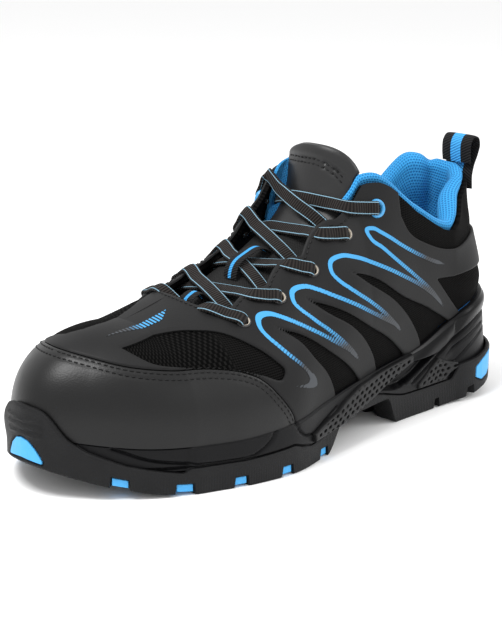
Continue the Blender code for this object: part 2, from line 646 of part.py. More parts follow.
def last_grid():
    """Rows, sides and heights round the upper: from the sole up to collar, throat or ridge."""
    u, side = around(LAST_ROWS)
    end = np.array([open_end(a, b) for a, b in zip(u, side)])
    t = np.linspace(0, 1, 9)[None, :] * end[:, None]
    return u[:, None] + 0 * t, side[:, None] + 0 * t, t


LAST = last_grid()


def wrap(name, lift_in, lift_out, finish):
    """Shell all round the last between two distances from the upper's outer face."""
    return thick_sheet(name, skin(*LAST, lift_out), skin(*LAST, lift_in), finish, wrap=True)


def eyelet_frame(side, x, down):
    """Place and outward direction of an eyelet on the upper, down from the throat's edge."""
    u = float(row_at(x))
    t = below_edge(u, side, down)
    u, side, t = np.array([u]), np.array([side]), np.array([t])
    return skin(u, side, t)[0], normal(u, side, t)[0]


def turned(centre, axis, profile, steps):
    """Points turned about an axis from (radius, height) pairs, one closed row for each pair."""
    a = np.cross(axis, (1.0, 0.0, 0.0))
    a /= np.linalg.norm(a)
    b = np.cross(axis, a)
    angle = np.linspace(0, 2 * np.pi, steps, endpoint=False)
    radial = np.cos(angle)[:, None] * a + np.sin(angle)[:, None] * b
    return np.stack([centre + radial * r + axis * h for r, h in profile])


def build_upper():
    """Hollow upper, its two overlays cut from one shell, and the lace holes through them."""
    upper = wrap("upper", -WALL, 0.0, "fabric")
    overlay = wrap("overlay", *OVERLAY_FACES, "leather")
    toe_cap = wrap("toe_cap", *OVERLAY_FACES, "leather")
    cap_prism = prism("cap_prism", TOE_CAP, -120, 120)
    boolean(toe_cap, cap_prism, "INTERSECT")
    grown = np.asarray(TOE_CAP, float)
    grown[1:-2] += np.array((-SEAM_GAP, SEAM_GAP * 2))
    boolean(overlay, prism("cap_clearance", grown, -120, 120), "DIFFERENCE")
    for name, outline in WINDOWS.items():
        boolean(overlay, prism(f"window_{name}_lat", outline, 12, 120), "DIFFERENCE")
        window = prism(f"window_{name}_med", outline, -120, MEDIAL_LIMIT[name == "vamp"])
        boolean(overlay, window, "DIFFERENCE")
    boolean(overlay, prism("window_heel", HEEL_WINDOW, -120, 120), "DIFFERENCE")
    boolean(overlay, prism("collar_cut", COLLAR_PANEL, -120, 120), "DIFFERENCE")
    for word, side in (("lat", 1), ("med", -1)):
        for number, x in enumerate(EYELETS[word], 1):
            centre, axis = eyelet_frame(side, x, EYELET_BELOW_EDGE[word][number - 1])
            bore, radius, height = EYELET_SIZES["ring" if number == 1 else "rim"]
            base = OVERLAY_FACES[1] + 2 * GAP
            profile = ((bore, base), (bore + EYELET_CREST, base + height), (radius, base))
            ring = turned(centre, axis, profile, EYELET_SIDES)
            faces = grid_faces(*ring.shape[:2], wrap_n=True, wrap_m=True)
            add_object(f"eyelet_{word}_{number}", ring, faces, "inlay" if number == 1 else "plastic", 60)
            bored = turned(centre, axis, ((bore, -2 * WALL), (bore, 2 * WALL)), EYELET_SIDES)
            hole = as_cutter(loft(f"hole_{word}_{number}", bored, None))
            boolean(upper, hole, "DIFFERENCE")
            boolean(overlay, hole, "DIFFERENCE")


def build_collar_lining():
    """Padded collar lining: a rolled edge above the collar and a pad down inside, ends at the throat."""
    rows = LAST_ROWS[LAST_ROWS < LINING_END][::-1]
    u = np.concatenate([rows, rows[-2::-1]])
    side = np.concatenate([np.ones(len(rows)), -np.ones(len(rows) - 1)])
    under = WALL + LINING_CLEAR
    least, more, at_heel = LINING_PAD
    profiles = []
    for row, s in zip(u, side):
        pad = least + more * ease((LINING_THIN - row) / 1.5)
        pad += at_heel * np.exp(-((row - HEEL_PAD[0]) / HEEL_PAD[1]) ** 2)
        end = open_end(row, s)
        edge = skin(row, s, end)
        out = normal(np.array([row]), np.array([s]), np.array([end]))[0]
        rise = edge - skin(row, s, below_edge(row, s, 1.5))
        rise /= np.linalg.norm(rise)
        points = [skin(row, s, below_edge(row, s, d), -under) for d in LINING_OUTSIDE]
        roll = ((0.0, under), (2.4, 1.5), (4.6, 2.2), (5.2, 3.0 + 0.4 * pad), (3.6, 2.4 + pad),
                (-4.0, under + 1.1 * pad))
        points += [edge + rise * up - out * depth for up, depth in roll]
        points += [skin(row, s, below_edge(row, s, d), -under - pad * w) for d, w in LINING_INSIDE]
        profiles.append(np.array(points))
    loft("collar_lining", np.stack(profiles), "lining")


def along_tongue(v, b, lift):
    """Point on the tongue: v is the row from root 0 to lip 5, b across in mm, lift above its face."""
    rows = np.array(list(TONGUE.values()), float)
    number = np.arange(len(rows))
    x, z, _, fall, _ = (cubic(number, rows[:, k], v) for k in range(5))
    e = 0.02
    ahead, behind = ([cubic(number, rows[:, k], v + step) for k in (0, 1)] for step in (e, -e))
    slope = np.stack(ahead, -1) - np.stack(behind, -1)
    slope /= np.linalg.norm(slope, axis=-1, keepdims=True)
    half = cubic(number, rows[:, 2], v)
    fall = fall * np.where(b < 0, 1 - MEDIAL_FLAT * ease(v - 4), 1)
    drop = fall * (b / half) ** 2
    tilt = np.arctan(2 * fall * b / half ** 2)
    up = np.stack([slope[..., 1], 0 * x, -slope[..., 0]], -1)
    point = np.stack([x, TONGUE_Y + b, z], -1) - up * drop[..., None]
    face = up * np.cos(tilt)[..., None] + np.stack([0 * x, np.sin(tilt), 0 * x], -1)
    return point + face * np.asarray(lift)[..., None], face


def cubic(at, values, v):
    """Cubic through values at whole numbers, with the ends' own slopes."""
    slope = np.gradient(values)
    i = np.clip(np.floor(v).astype(int), 0, len(at) - 2)
    s = v - i
    rise = values[i] * (1 + 2 * s) * (1 - s) ** 2 + values[i + 1] * s * s * (3 - 2 * s)
    return rise + slope[i] * s * (1 - s) ** 2 - slope[i + 1] * s * s * (1 - s)


def build_tongue():
    """Padded tongue: crowned across, under the eyestays below and free above the collar."""
    v, share = np.meshgrid(np.linspace(0, 1, 14), np.linspace(-1, 1, 11), indexing="ij")
    (lateral, power), (medial, medial_power) = LIP_DROP
    drop = np.where(share > 0, lateral * np.abs(share) ** power, medial * np.abs(share) ** medial_power)
    v = v * (5 - drop)
    rows = np.array(list(TONGUE.values()), float)
    number = np.arange(len(rows))
    half = cubic(number, rows[:, 2], v)
    thick = cubic(number, rows[:, 4], v) * (1 - TONGUE_TAPER * share ** 4)
    outer, face = along_tongue(v, share * half, 0 * v)
    for i, j in np.ndindex(v.shape):
        x, y, z = outer[i, j]
        under_upper = x > THROAT["front"] or abs(y) > throat_half(x, np.sign(y)) - TONGUE_LAP
        if x > THROAT["top"] + TONGUE_FREE and under_upper:
            outer[i, j, 2] = min(z, skin_height(x, y) - TONGUE_CLEAR)
    thick_sheet("tongue", outer, outer - face * thick[..., None], "leather")


def strap(name, centre, face, width, thick, finish):
    """Flat band with rounded edges along a run of points, its broad side facing along face."""
    run = np.gradient(centre, axis=0)
    across = np.cross(face, run)
    across /= np.linalg.norm(across, axis=1, keepdims=True)
    face = np.cross(run, across)
    face /= np.linalg.norm(face, axis=1, keepdims=True)
    profiles = [centre + across * width * a + face * thick * h for a, h in STRAP_PROFILE]
    return loft(name, np.stack(profiles, 1), finish)


def tongue_row(x, z):
    """Row of the tongue whose centre lies nearest to a point in side view."""
    v = np.linspace(0, 5, 400)
    centre = along_tongue(v, 0 * v, 0 * v)[0]
    return v[np.argmin(np.hypot(centre[:, 0] - x, centre[:, 2] - z))]


def edge_point(side, x, down, lift):
    """Point over the upper a little way down from the throat's edge, with its outward direction."""
    u = float(row_at(x))
    u, side, t = np.array([u]), np.array([side]), np.array([below_edge(u, side, down)])
    return skin(u, side, t, np.array([lift]))[0], normal(u, side, t)[0]


def lace_end(word, number):
    """Eyestay's edge beside an eyelet: point and direction over it, and the tongue's row level with it."""
    side = 1 if word == "lat" else -1
    over = OVERLAY_FACES[1] + LACE_THICK / 2 + LACE_OVER_EDGE
    point, face = edge_point(side, LACE_EDGES[word][number], 0.0, over)
    return point, face, tongue_row(point[0], point[2])


def lace_path(word, number, far_row, lift, reach):
    """Over the eyestay's edge, straight to the tongue's middle, then along it towards the other edge."""
    side = 1 if word == "lat" else -1
    edge, edge_face, row = lace_end(word, number)
    half = abs(edge[1] - TONGUE_Y)
    b = side * np.linspace(0, -reach, 3)
    share = (half - side * b) / (2 * half)
    across, face = along_tongue(row + share * (far_row - row), b, lift + 0 * b)
    share = np.array(BETWEEN)[:, None]
    between = edge + share * (across[0] - edge)
    between_face = edge_face + share * (face[0] - edge_face)
    rows = row + share[:, 0] / 2 * (far_row - row)
    resting, resting_face = along_tongue(rows, between[:, 1] - TONGUE_Y, lift + 0 * rows)
    sunk = np.sum((between - resting) * resting_face, axis=1, keepdims=True) < 0
    sunk[0] = False
    between = np.where(sunk, resting, between)
    between_face = np.where(sunk, resting_face, between_face)
    outward = between[0] - between[1]
    end = edge + outward * LACE_OVERHANG / np.linalg.norm(outward)
    return np.concatenate([[end], between, across]), np.concatenate([[edge_face], between_face, face])


def build_laces():
    """Flat laces: four crossings, each two bands joined, and the straight bar at the foot."""
    for number in range(4):
        pair = []
        for word, far, lift in (("lat", "med", LACE_LIFTS[0]), ("med", "lat", LACE_LIFTS[1])):
            rows = [lace_end(far, k)[2] for k in (number, number + 1)]
            far_row = rows[0] + LACE_FAR_SHARE * (rows[1] - rows[0])
            path, face = lace_path(word, number, far_row, lift, LACE_REACH)
            name = f"lace_{number + 1}" + ("" if word == "lat" else "_over")
            finish = "webbing" if word == "lat" else None
            pair.append(strap(name, path, face, LACE_WIDTH, LACE_THICK, finish))
        boolean(pair[0], as_cutter(pair[1]), "UNION")
    foot = len(EYELETS["lat"]) - 1
    rows = {word: lace_end(word, foot)[2] for word in ("lat", "med")}
    lateral, medial = [lace_path(word, foot, rows[far], LACE_LIFTS[0], 0.0)
                       for word, far in (("lat", "med"), ("med", "lat"))]
    joined = [np.concatenate([a[:5], b[3::-1]]) for a, b in zip(lateral, medial)]
    strap("lace_5", *joined, LACE_WIDTH, LACE_THICK, "webbing")


def build_keepers():
    """Webbing loops on the tongue that hold the laces down."""
    for name, (row, reach, height) in KEEPERS.items():
        share = np.linspace(-1, 1, 7)
        v = row + share * reach / TONGUE_ROW_LENGTH
        lift = KEEPER_FOOT + (height - KEEPER_FOOT) * (1 - share ** 4)
        path, face = along_tongue(v, 0 * v, lift)
        strap(name, path, face, KEEPER_WIDTH, KEEPER_THICK, "webbing")


def build_pull_loop():
    """Webbing pull loop at the back of the collar: sewn down the heel outside, free above it."""
    t = [below_edge(0.0, 1, d) for d in LOOP_SEWN]
    outer_leg = [skin(0.0, 1, a, GAP + WEBBING / 2)[[0, 2]] for a in t]
    line = np.concatenate([outer_leg, LOOP_FREE])
    run = np.gradient(line, axis=0)
    side_step = np.stack([run[:, 1], -run[:, 0]], 1)
    side_step *= WEBBING / 2 / np.linalg.norm(side_step, axis=1, keepdims=True)
    outline = np.concatenate([line + side_step, (line - side_step)[::-1]])
    n = len(line)
    ends = np.stack([np.insert(outline, 1, y, axis=1) for y in (-LOOP_WIDTH / 2, LOOP_WIDTH / 2)])
    faces = grid_faces(2, 2 * n, wrap_m=True)
    for base in (0, 2 * n):
        last = base + 2 * n - 1
        faces += [(base + i, base + i + 1, last - 1 - i, last - i) for i in range(n - 1)]
    add_object("pull_loop", ends, faces, "webbing")


def build_arch_strips():
    """Moulded perforated strip on each side of the arch, from the forefoot up to the heel."""
    x = np.linspace(*STRIP_SPAN, 10)
    high = np.interp(x, *np.transpose(STRIP_HIGH))
    low = np.interp(x, *np.transpose(STRIP_LOW))
    high = np.maximum(high, low + STRIP_LEAST)
    back, edge_out, crest = STRIP_FACES
    u = row_at(x)
    for word, side in (("lat", 1), ("med", -1)):
        edge = midsole_edge(u, side)
        top_edge = sided("half", u, side) - column("inset", u) + TOP_EDGE_STEP
        foot = outsole_top(x) + GAP + MIDSOLE_FOOT
        feather = column("feather", u) - GAP

        def wall(z, out):
            share = np.clip((z - foot) / (feather - foot), 0, 1)
            return place(u, side, edge + (top_edge - edge) * share + out, z)

        top = np.minimum(high, feather - 1.0)
        middle = (low + top) / 2
        profile = [wall(low, back), wall(low, edge_out), wall(middle, crest), wall(top, edge_out),
                   wall(top, back)]
        loft(f"arch_strip_{word}", np.stack(profile, 1), "plastic")


outsole = build_outsole()
build_inlays(outsole)
build_midsole()
build_insole()
build_upper()
build_collar_lining()
build_tongue()
build_laces()
build_keepers()
build_pull_loop()
build_arch_strips()

# The middle of the footprint goes to the origin
box = np.array([v.co for v in outsole.data.vertices])
middle = (box.min(0) + box.max(0)) / 2
shoe.location = (-middle[0], -middle[1], -box[:, 2].min())
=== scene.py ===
"""A left safety shoe: the finish of every surface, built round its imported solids.

Lengths are in millimetres from the heel: toe +X, outer (lateral) side +Y, up +Z. A mesh is put into
metres, with the middle of the footprint at the origin, when its piece is made.
"""

import bmesh
import bpy
import numpy as np
from mathutils import Matrix, Vector


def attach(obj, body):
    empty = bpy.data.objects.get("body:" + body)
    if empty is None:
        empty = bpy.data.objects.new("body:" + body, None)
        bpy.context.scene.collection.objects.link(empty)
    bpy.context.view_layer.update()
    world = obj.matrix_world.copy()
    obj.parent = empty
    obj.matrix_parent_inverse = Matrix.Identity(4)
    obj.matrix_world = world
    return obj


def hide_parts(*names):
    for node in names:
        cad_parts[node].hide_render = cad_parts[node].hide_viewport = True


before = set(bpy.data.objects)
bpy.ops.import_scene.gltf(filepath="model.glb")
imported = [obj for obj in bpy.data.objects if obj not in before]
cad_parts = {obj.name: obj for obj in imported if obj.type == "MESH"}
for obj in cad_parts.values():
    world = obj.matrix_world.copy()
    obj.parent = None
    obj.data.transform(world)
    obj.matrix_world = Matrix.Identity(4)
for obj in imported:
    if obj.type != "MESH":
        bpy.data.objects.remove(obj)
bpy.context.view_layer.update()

# Camera: beside the toe on the lateral side and a little above it, through a long lens.
# Its angles, distance and lens are those of the reference view.
MM = 0.001
MIDDLE = np.array((147.75, 2.89, 0.0))         # middle of the footprint, from the heel
VIEW_TURN, VIEW_RISE, VIEW_ROLL = np.radians((46.63, 15.10, 0.87))
VIEW_DISTANCE = 794.87
VIEW_TARGET = np.array((161.63, 0.15, 57.86))
FOCAL_PIXELS = 1596.42
PICTURE_HEIGHT = 642                           # pixels
SENSOR_HEIGHT = 36.0

back = np.array((np.cos(VIEW_TURN) * np.cos(VIEW_RISE), np.sin(VIEW_TURN) * np.cos(VIEW_RISE),
                 np.sin(VIEW_RISE)))
level = np.array((-np.sin(VIEW_TURN), np.cos(VIEW_TURN), 0.0))
upright = np.cross(back, level)
lens = bpy.data.cameras.new("camera")
lens.sensor_fit = "VERTICAL"
lens.sensor_height = SENSOR_HEIGHT
lens.lens = SENSOR_HEIGHT * FOCAL_PIXELS / PICTURE_HEIGHT
camera = bpy.data.objects.new("camera", lens)
bpy.context.scene.collection.objects.link(camera)
placed = np.eye(4)
placed[:3, 0] = level * np.cos(VIEW_ROLL) + upright * np.sin(VIEW_ROLL)
placed[:3, 1] = upright * np.cos(VIEW_ROLL) - level * np.sin(VIEW_ROLL)
placed[:3, 2] = back
placed[:3, 3] = (VIEW_TARGET + back * VIEW_DISTANCE - MIDDLE) * MM
camera.matrix_world = Matrix(placed.tolist())
bpy.context.scene.camera = camera

# Studio: a plain pale floor under an even pale sky, with soft boxes over the toe, on the lateral
# side and behind the heel.
FLOOR_REACH = 9.0                              # metres
FLOOR_COLOUR = (0.93, 0.93, 0.93)
SKY = (1.0, 1.0, 1.0)
SKY_STRENGTH = 1.0
SOFT_BOXES = {                                 # place (m), watts, size (m)
    "key":  ((0.64, -0.08, 1.30), 17.0, 0.55),
    "side": ((-0.15, 1.35, 0.75), 1.5, 0.9),
    "heel": ((-0.75, 0.65, 0.75), 3.5, 0.4),
}


class Socket:
    """One value in a material's node tree; arithmetic on it adds Math nodes."""

    def __init__(self, tree, socket=None):
        self.tree = tree
        self.socket = socket

    def node(self, kind, settings=None, inputs=None, out=0):
        """Adds a node: its settings first, then the values or links of its sockets."""
        made = self.tree.nodes.new(kind)
        for name, value in (settings or {}).items():
            setattr(made, name, value)
        for key, value in (inputs or {}).items():
            if isinstance(value, Socket):
                self.tree.links.new(value.socket, made.inputs[key])
            else:
                made.inputs[key].default_value = value
        return Socket(self.tree, made.outputs[out])

    def maths(self, operation, *others):
        """Adds a Math node with this value first."""
        return self.node("ShaderNodeMath", {"operation": operation}, dict(enumerate((self, *others))))

    def __add__(self, other):
        return self.maths("ADD", other)

    def __sub__(self, other):
        return self.maths("SUBTRACT", other)

    def __mul__(self, other):
        return self.maths("MULTIPLY", other)

    def __rsub__(self, other):
        return self.maths("MULTIPLY", -1.0) + other

    __radd__ = __add__
    __rmul__ = __mul__


def new_finish(name, colour, roughness, shine=0.5):
    """A material with one Principled shader; returns it, its shader's inputs and a value to start from."""
    finish = bpy.data.materials.new(name)
    finish.use_nodes = True
    shader = finish.node_tree.nodes["Principled BSDF"].inputs
    shader["Base Color"].default_value = (*colour, 1.0)
    shader["Roughness"].default_value = roughness
    shader["Specular IOR Level"].default_value = shine
    return finish, shader, Socket(finish.node_tree)


floor_mesh = bpy.data.meshes.new("floor")
corners = ((-1, -1), (1, -1), (1, 1), (-1, 1))
floor_mesh.from_pydata([(FLOOR_REACH * a, FLOOR_REACH * b, 0.0) for a, b in corners], [], [(0, 1, 2, 3)])
floor = bpy.data.objects.new("floor", floor_mesh)
bpy.context.scene.collection.objects.link(floor)
floor_finish, shader, start = new_finish("pale_floor", FLOOR_COLOUR, 0.9)
floor_mesh.materials.append(floor_finish)
world = bpy.data.worlds.new("sky")
world.use_nodes = True
world.node_tree.nodes["Background"].inputs["Color"].default_value = (*SKY, 1.0)
world.node_tree.nodes["Background"].inputs["Strength"].default_value = SKY_STRENGTH
bpy.context.scene.world = world
bpy.context.scene.view_settings.view_transform = "Standard"
for name, (where, watts, size) in SOFT_BOXES.items():
    lamp = bpy.data.lights.new(name, "AREA")
    lamp.energy = watts
    lamp.size = size
    box = bpy.data.objects.new(name, lamp)
    box.location = where
    box.rotation_euler = Vector(where).to_track_quat("Z", "Y").to_euler()
    bpy.context.scene.collection.objects.link(box)

# Outsole: black moulded rubber, with a rim that rises to a toe guard and a heel wrap and with
# ribbed side lugs. It is cemented under the midsole. Its outline is the foot of the last's sections.
COLUMNS = ("x", "y", "deg", "lat", "med", "inset", "feather", "lean", "full_lat", "full_med",
           "edge_lat", "edge_med", "top_lat", "top_med", "roll")
SECTIONS = {
    "heel_back":   (45, 0, 180, 47.5, 47.5, 6.0, 57.5, 4, .42, .42, 38.0, 38.0, 117, 117, 10),
    "heel_turn":   (45, 0, 135, 47.0, 46.0, 8.5, 56.5, 5, .42, .42, 27.0, 32.0, 106, 120, 16),
    "heel_side":   (45, 0, 90, 38.5, 37.5, 5.5, 47.5, 6, .42, .42, 31.0, 32.0, 93.5, 103, 14),
    "heel_front":  (74, 0, 90, 38.5, 35.5, 4.5, 36.5, 7, .45, .46, 32.0, 31.0, 106, 109, 20),
    "quarter_top": (103, -2, 90, 43.0, 33.0, 4.0, 32.5, 8, .50, .56, 31.0, 29.0, 125, 127, 36),
    "waist":       (130, -4, 90, 50.0, 31.5, 4.0, 30.0, 8, .56, .72, 24.0, 21.0, 118, 121, 75),
    "instep":      (158, -6, 90, 58.0, 33.0, 4.0, 27.0, 8, .55, .74, 0.0, 0.0, 106, 97, 90),
    "ball_rear":   (185, -7, 90, 66.0, 39.0, 4.0, 24.5, 9, .56, .67, 0.0, 0.0, 87, 84, 90),
    "ball":        (212, -6, 90, 63.0, 45.5, 4.0, 22.5, 9, .60, .63, 0.0, 0.0, 76, 76, 90),
    "toe_root":    (238, -5, 90, 55.0, 48.0, 4.0, 22.5, 8, .65, .65, 0.0, 0.0, 69.5, 69.5, 90),
    "toe_side":    (238, -5, 60, 49.5, 51.5, 4.0, 23.5, 7, .66, .66, 0.0, 0.0, 69.5, 69.5, 90),
    "toe_turn":    (238, -5, 30, 52.0, 55.5, 4.0, 26.0, 6, .66, .66, 0.0, 0.0, 69.5, 69.5, 90),
    "toe_tip":     (238, -5, 0, 60.0, 60.0, 4.0, 28.0, 5, .66, .66, 0.0, 0.0, 69.5, 69.5, 90),
}
TABLE = np.array(list(SECTIONS.values()), float)
LAST_ROW = len(TABLE) - 1
STRAIGHT_ROWS = (2.0, 9.0)     # rows whose sections stand square to the shoe's length
TOE_SPRING = {"start": 232.0, "length": 66.0, "lift": 15.0}
ARCH = {"breast": 94.0, "breast_ramp": 9.0, "fore_end": 158.0, "fore_ramp": 15.0, "lift": 14.5}
HEEL_BEVEL = {"end": 68.0, "length": 68.0, "lift": 11.0}
TREAD = {"fore": 9.8, "heel": 13.0, "arch_top": 19.5, "arch": (84.0, 118.0, 136.0, 172.0)}
LUG_DEPTH = 5.0
LUG_EDGE = 0.014               # half the width of a lug's side wall, in rows
LUG_ROUND = 0.6                # of a lug's lower edges
RIM = 2.2
RIM_ROWS = (0.0, 0.6, 1.0, 1.45, 2.2, 9.2, 9.7, 10.3, 11.0, 11.25, 11.5, 11.65, 12.0)
RIM_HEIGHT = (27.0, 26.8, 26.0, 23.0, 19.5, 9.8, 12.4, 16.0, 23.0, 28.0, 38.0, 41.0, 42.6)
RIM_BLEND = 0.09               # rows to either side over which the rim's height is a mean
RIM_ENDS = ((1.92, 0.25), (9.35, 0.15))        # heel and toe: row where the rim ends, and over how many
LUG_GAPS = {"heel_rear": (1.62, 0.16), "heel_mid": (2.52, 0.14), "instep": (6.12, 0.26),
            "ball_rear": (7.25, 0.26), "ball": (8.23, 0.28), "toe_root": (9.31, 0.34),
            "toe_side": (10.38, 0.34)}         # middle row and width in rows
# Leaf-shaped hollows for the corner inlays: rows, and heights of the leaf's lower and upper edge there
TOE_LEAF = ((11.63, 11.74, 11.87, 12.0), (15.6, 16.2, 16.8, 17.2), (17.0, 22.2, 25.6, 26.6))
HEEL_LEAF = ((1.0, 1.18, 1.36, 1.5), (12.0, 10.6, 9.6, 12.0), (23.2, 22.6, 20.6, 17.6))
# Upper edge of the rubber along the sides, where it climbs over the foot of the midsole: x and height
SIDE_EDGE = ((168, 173, 181, 187, 193, 214, 245), (9.0, 9.9, 11.6, 13.6, 13.2, 12.2, 12.4))
INLAY_DEPTH = 1.5
GUARD_RIDGES = (28.5, 32.0, 35.5)              # heights of the short ridges on the toe guard
RIDGE_STAND, RIDGE_WIDTH, RIDGE_ROW = 0.9, 0.75, 11.58
UPPER_CLEAR = 2.7              # from the upper's face to the toe guard
CENTRE_LUG, SIDE_LUG = 0.5, 0.66               # edges of the long grooves, as shares of the half width
SOLE_PITCH, SOLE_WALL_STEPS = 1.3, 22          # of the mesh, along and up the wall
SHARP_ANGLE = 40               # degrees between faces that don't shade smoothly, on every piece


def cubic(values, slope, at):
    """Value at a row number that may lie between rows: cubics through the rows with their slopes."""
    i = np.clip(np.floor(at).astype(int), 0, len(values) - 2)
    s = at - i
    rise = values[i] * (1 + 2 * s) * (1 - s) ** 2 + values[i + 1] * s * s * (3 - 2 * s)
    return rise + slope[i] * s * (1 - s) ** 2 - slope[i + 1] * s * s * (1 - s)


def column(name, u):
    """A column of the sections at row u; all but the direction are level at the heel and the toe."""
    values = TABLE[:, COLUMNS.index(name)]
    slope = np.gradient(values)
    if name != "deg":
        slope[0] = slope[-1] = 0.0
    return cubic(values, slope, u)


def sided(name, u, side):
    """A lateral and medial pair of columns, each on its own side (+1 or -1)."""
    pair = ("lat", "med") if name == "half" else (name + "_lat", name + "_med")
    return np.where(np.asarray(side) > 0, column(pair[0], u), column(pair[1], u))


def place(u, side, r, z):
    """Point at distance r from the spine along the section's direction, at height z."""
    turn = np.radians(column("deg", u))
    spine = np.clip(u, *STRAIGHT_ROWS)
    x = column("x", spine) + np.cos(turn) * r
    y = column("y", spine) + side * np.sin(turn) * r
    return np.stack(np.broadcast_arrays(x, y, z), -1)


def section(u, side, t):
    """Distance and height of the upper's outer face, a cubic from the sole (t 0) to its end (t 1)."""
    r0 = sided("half", u, side) - column("inset", u)
    z0 = column("feather", u)
    r3 = sided("edge", u, side)
    z3 = sided("top", np.minimum(u, STRAIGHT_ROWS[1]), side)
    lean = np.radians(column("lean", u))
    roll = np.radians(column("roll", u))
    full = sided("full", u, side)
    reach = full * (z3 - z0)
    inward = np.maximum(full * np.abs(r0 - r3), 0.3 * reach * np.cos(roll))
    r = (r0, r0 + reach * np.sin(lean), r3 + inward * np.sin(roll), r3)
    z = (z0, z0 + reach * np.cos(lean), z3 - reach * np.cos(roll), z3)
    weights = ((1 - t) ** 3, 3 * t * (1 - t) ** 2, 3 * t * t * (1 - t), t ** 3)
    return sum(w * p for w, p in zip(weights, r)), sum(w * p for w, p in zip(weights, z))


def ease(v):
    """Smooth step from 0 to 1."""
    v = np.clip(v, 0, 1)
    return v * v * (3 - 2 * v)


def lengths(line):
    """Distance along a run of points, from its first."""
    return np.concatenate([[0.0], np.cumsum(np.linalg.norm(np.diff(line, axis=0), axis=1))])


def rows_every(pitch, low=0.0, high=float(LAST_ROW)):
    """Row numbers about pitch mm apart along the lateral outline."""
    fine = np.linspace(low, high, 2001)
    run = lengths(place(fine, 1.0, sided("half", fine, 1.0), 0.0))
    return np.interp(np.linspace(0, run[-1], int(run[-1] / pitch) + 2), run, fine)


def around(rows):
    """Rows and sides once round the shoe: toe, lateral side, heel, medial side, toe."""
    u = np.concatenate([rows[::-1], rows[1:]])
    return u, np.concatenate([np.ones(len(rows)), -np.ones(len(rows) - 1)])


def crossing(values, level):
    """Place, as a share of the columns, where each rising row of values passes its level."""
    n, m = values.shape
    i = np.clip((values < level[:, None]).sum(1), 1, m - 1)
    low, high = (np.take_along_axis(values, k[:, None], 1)[:, 0] for k in (i - 1, i))
    step = np.where(np.abs(high - low) < 1e-9, 1e-9, high - low)
    return (i - 1 + np.clip((level - low) / step, 0, 1)) / (m - 1)


def grid(n, m):
    """Quads of an n by m grid of points, as rows of four indices."""
    i = np.arange(n * m).reshape(n, m)
    return np.stack([i[:-1, :-1], i[1:, :-1], i[1:, 1:], i[:-1, 1:]], -1).reshape(-1, 4)


def add_piece(name, points, faces, finish, slot, nodes=(), uv=None, marks=None):
    """A closed mesh piece on the shoe's one body, its faces outwards, smooth but for sharp edges.

    The points are in mm from the heel, uv in mm along the surface, marks are named values at the points.
    """
    flat = np.asarray(points, float).reshape(-1, 3)
    size = faces.shape[1]
    corners = [flat[faces[:, k]] for k in range(size)]
    volume = sum(np.sum(corners[0] * np.cross(corners[k], corners[k + 1])) for k in range(1, size - 1))
    if volume < 0:
        faces = faces[:, ::-1]
    mesh = bpy.data.meshes.new(name)
    mesh.vertices.add(len(flat))
    mesh.vertices.foreach_set("co", ((flat - MIDDLE) * MM).ravel())
    mesh.loops.add(faces.size)
    mesh.loops.foreach_set("vertex_index", faces.ravel())
    mesh.polygons.add(len(faces))
    mesh.polygons.foreach_set("loop_start", np.arange(0, faces.size, size))
    mesh.update(calc_edges=True)
    if uv is not None:
        layer = mesh.uv_layers.new(name="surface")
        layer.data.foreach_set("uv", np.reshape(uv, (-1, 2))[faces.ravel()].ravel())
    for key, values in (marks or {}).items():
        carried = mesh.attributes.new(key, "FLOAT", "POINT")
        carried.data.foreach_set("value", np.ravel(values).astype(np.float32))
    work = bmesh.new()
    work.from_mesh(mesh)
    bmesh.ops.remove_doubles(work, verts=work.verts, dist=1e-7)
    bmesh.ops.dissolve_degenerate(work, edges=work.edges, dist=1e-8)
    work.to_mesh(mesh)
    work.free()
    mesh.shade_smooth()
    mesh.set_sharp_from_angle(angle=np.radians(SHARP_ANGLE))
    mesh.materials.append(finish)
    made = bpy.data.objects.new(name, mesh)
    bpy.context.scene.collection.objects.link(made)
    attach(made, "root")
    if nodes:
        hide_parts(*nodes)
    return made


def arch(x):
    """1 under the arch, 0 under heel and forefoot."""
    rear = ease((x - ARCH["breast"]) / ARCH["breast_ramp"])
    return rear * ease((ARCH["fore_end"] - x) / ARCH["fore_ramp"])


def spring(x):
    """Rise of the toe: the square of the share of its length."""
    return TOE_SPRING["lift"] * np.clip((x - TOE_SPRING["start"]) / TOE_SPRING["length"], 0, None) ** 2


def bevel(x):
    """Rise of the heel's rear end: the square of the share of its length."""
    return HEEL_BEVEL["lift"] * np.clip((HEEL_BEVEL["end"] - x) / HEEL_BEVEL["length"], 0, None) ** 2


def ground(x):
    """Height of the lugs' lower faces."""
    return ARCH["lift"] * arch(x) + spring(x) + bevel(x)


def outsole_top(x):
    """Height of the outsole's upper face, where the midsole lies on it."""
    a, b, c, d = TREAD["arch"]
    rear = TREAD["heel"] + (TREAD["arch_top"] - TREAD["heel"]) * ease((x - a) / (b - a))
    fore = (TREAD["arch_top"] - TREAD["fore"]) * ease((x - c) / (d - c))
    return rear - fore + 0.75 * spring(x) + 0.5 * bevel(x)


def rim_height(u):
    """Height of the rim: the mean of its table over a short run of rows, mirrored past heel and toe."""
    spread = np.linspace(-RIM_BLEND, RIM_BLEND, 7)
    return np.mean([np.interp(np.abs(LAST_ROW - np.abs(LAST_ROW - np.abs(u + d))), RIM_ROWS, RIM_HEIGHT)
                    for d in spread], axis=0)


def rim_share(u):
    """1 where the outsole has a rim, 0 along the sides."""
    (heel, heel_run), (toe, toe_run) = RIM_ENDS
    return 1 - ease((u - heel) / heel_run) * ease((toe - u) / toe_run)


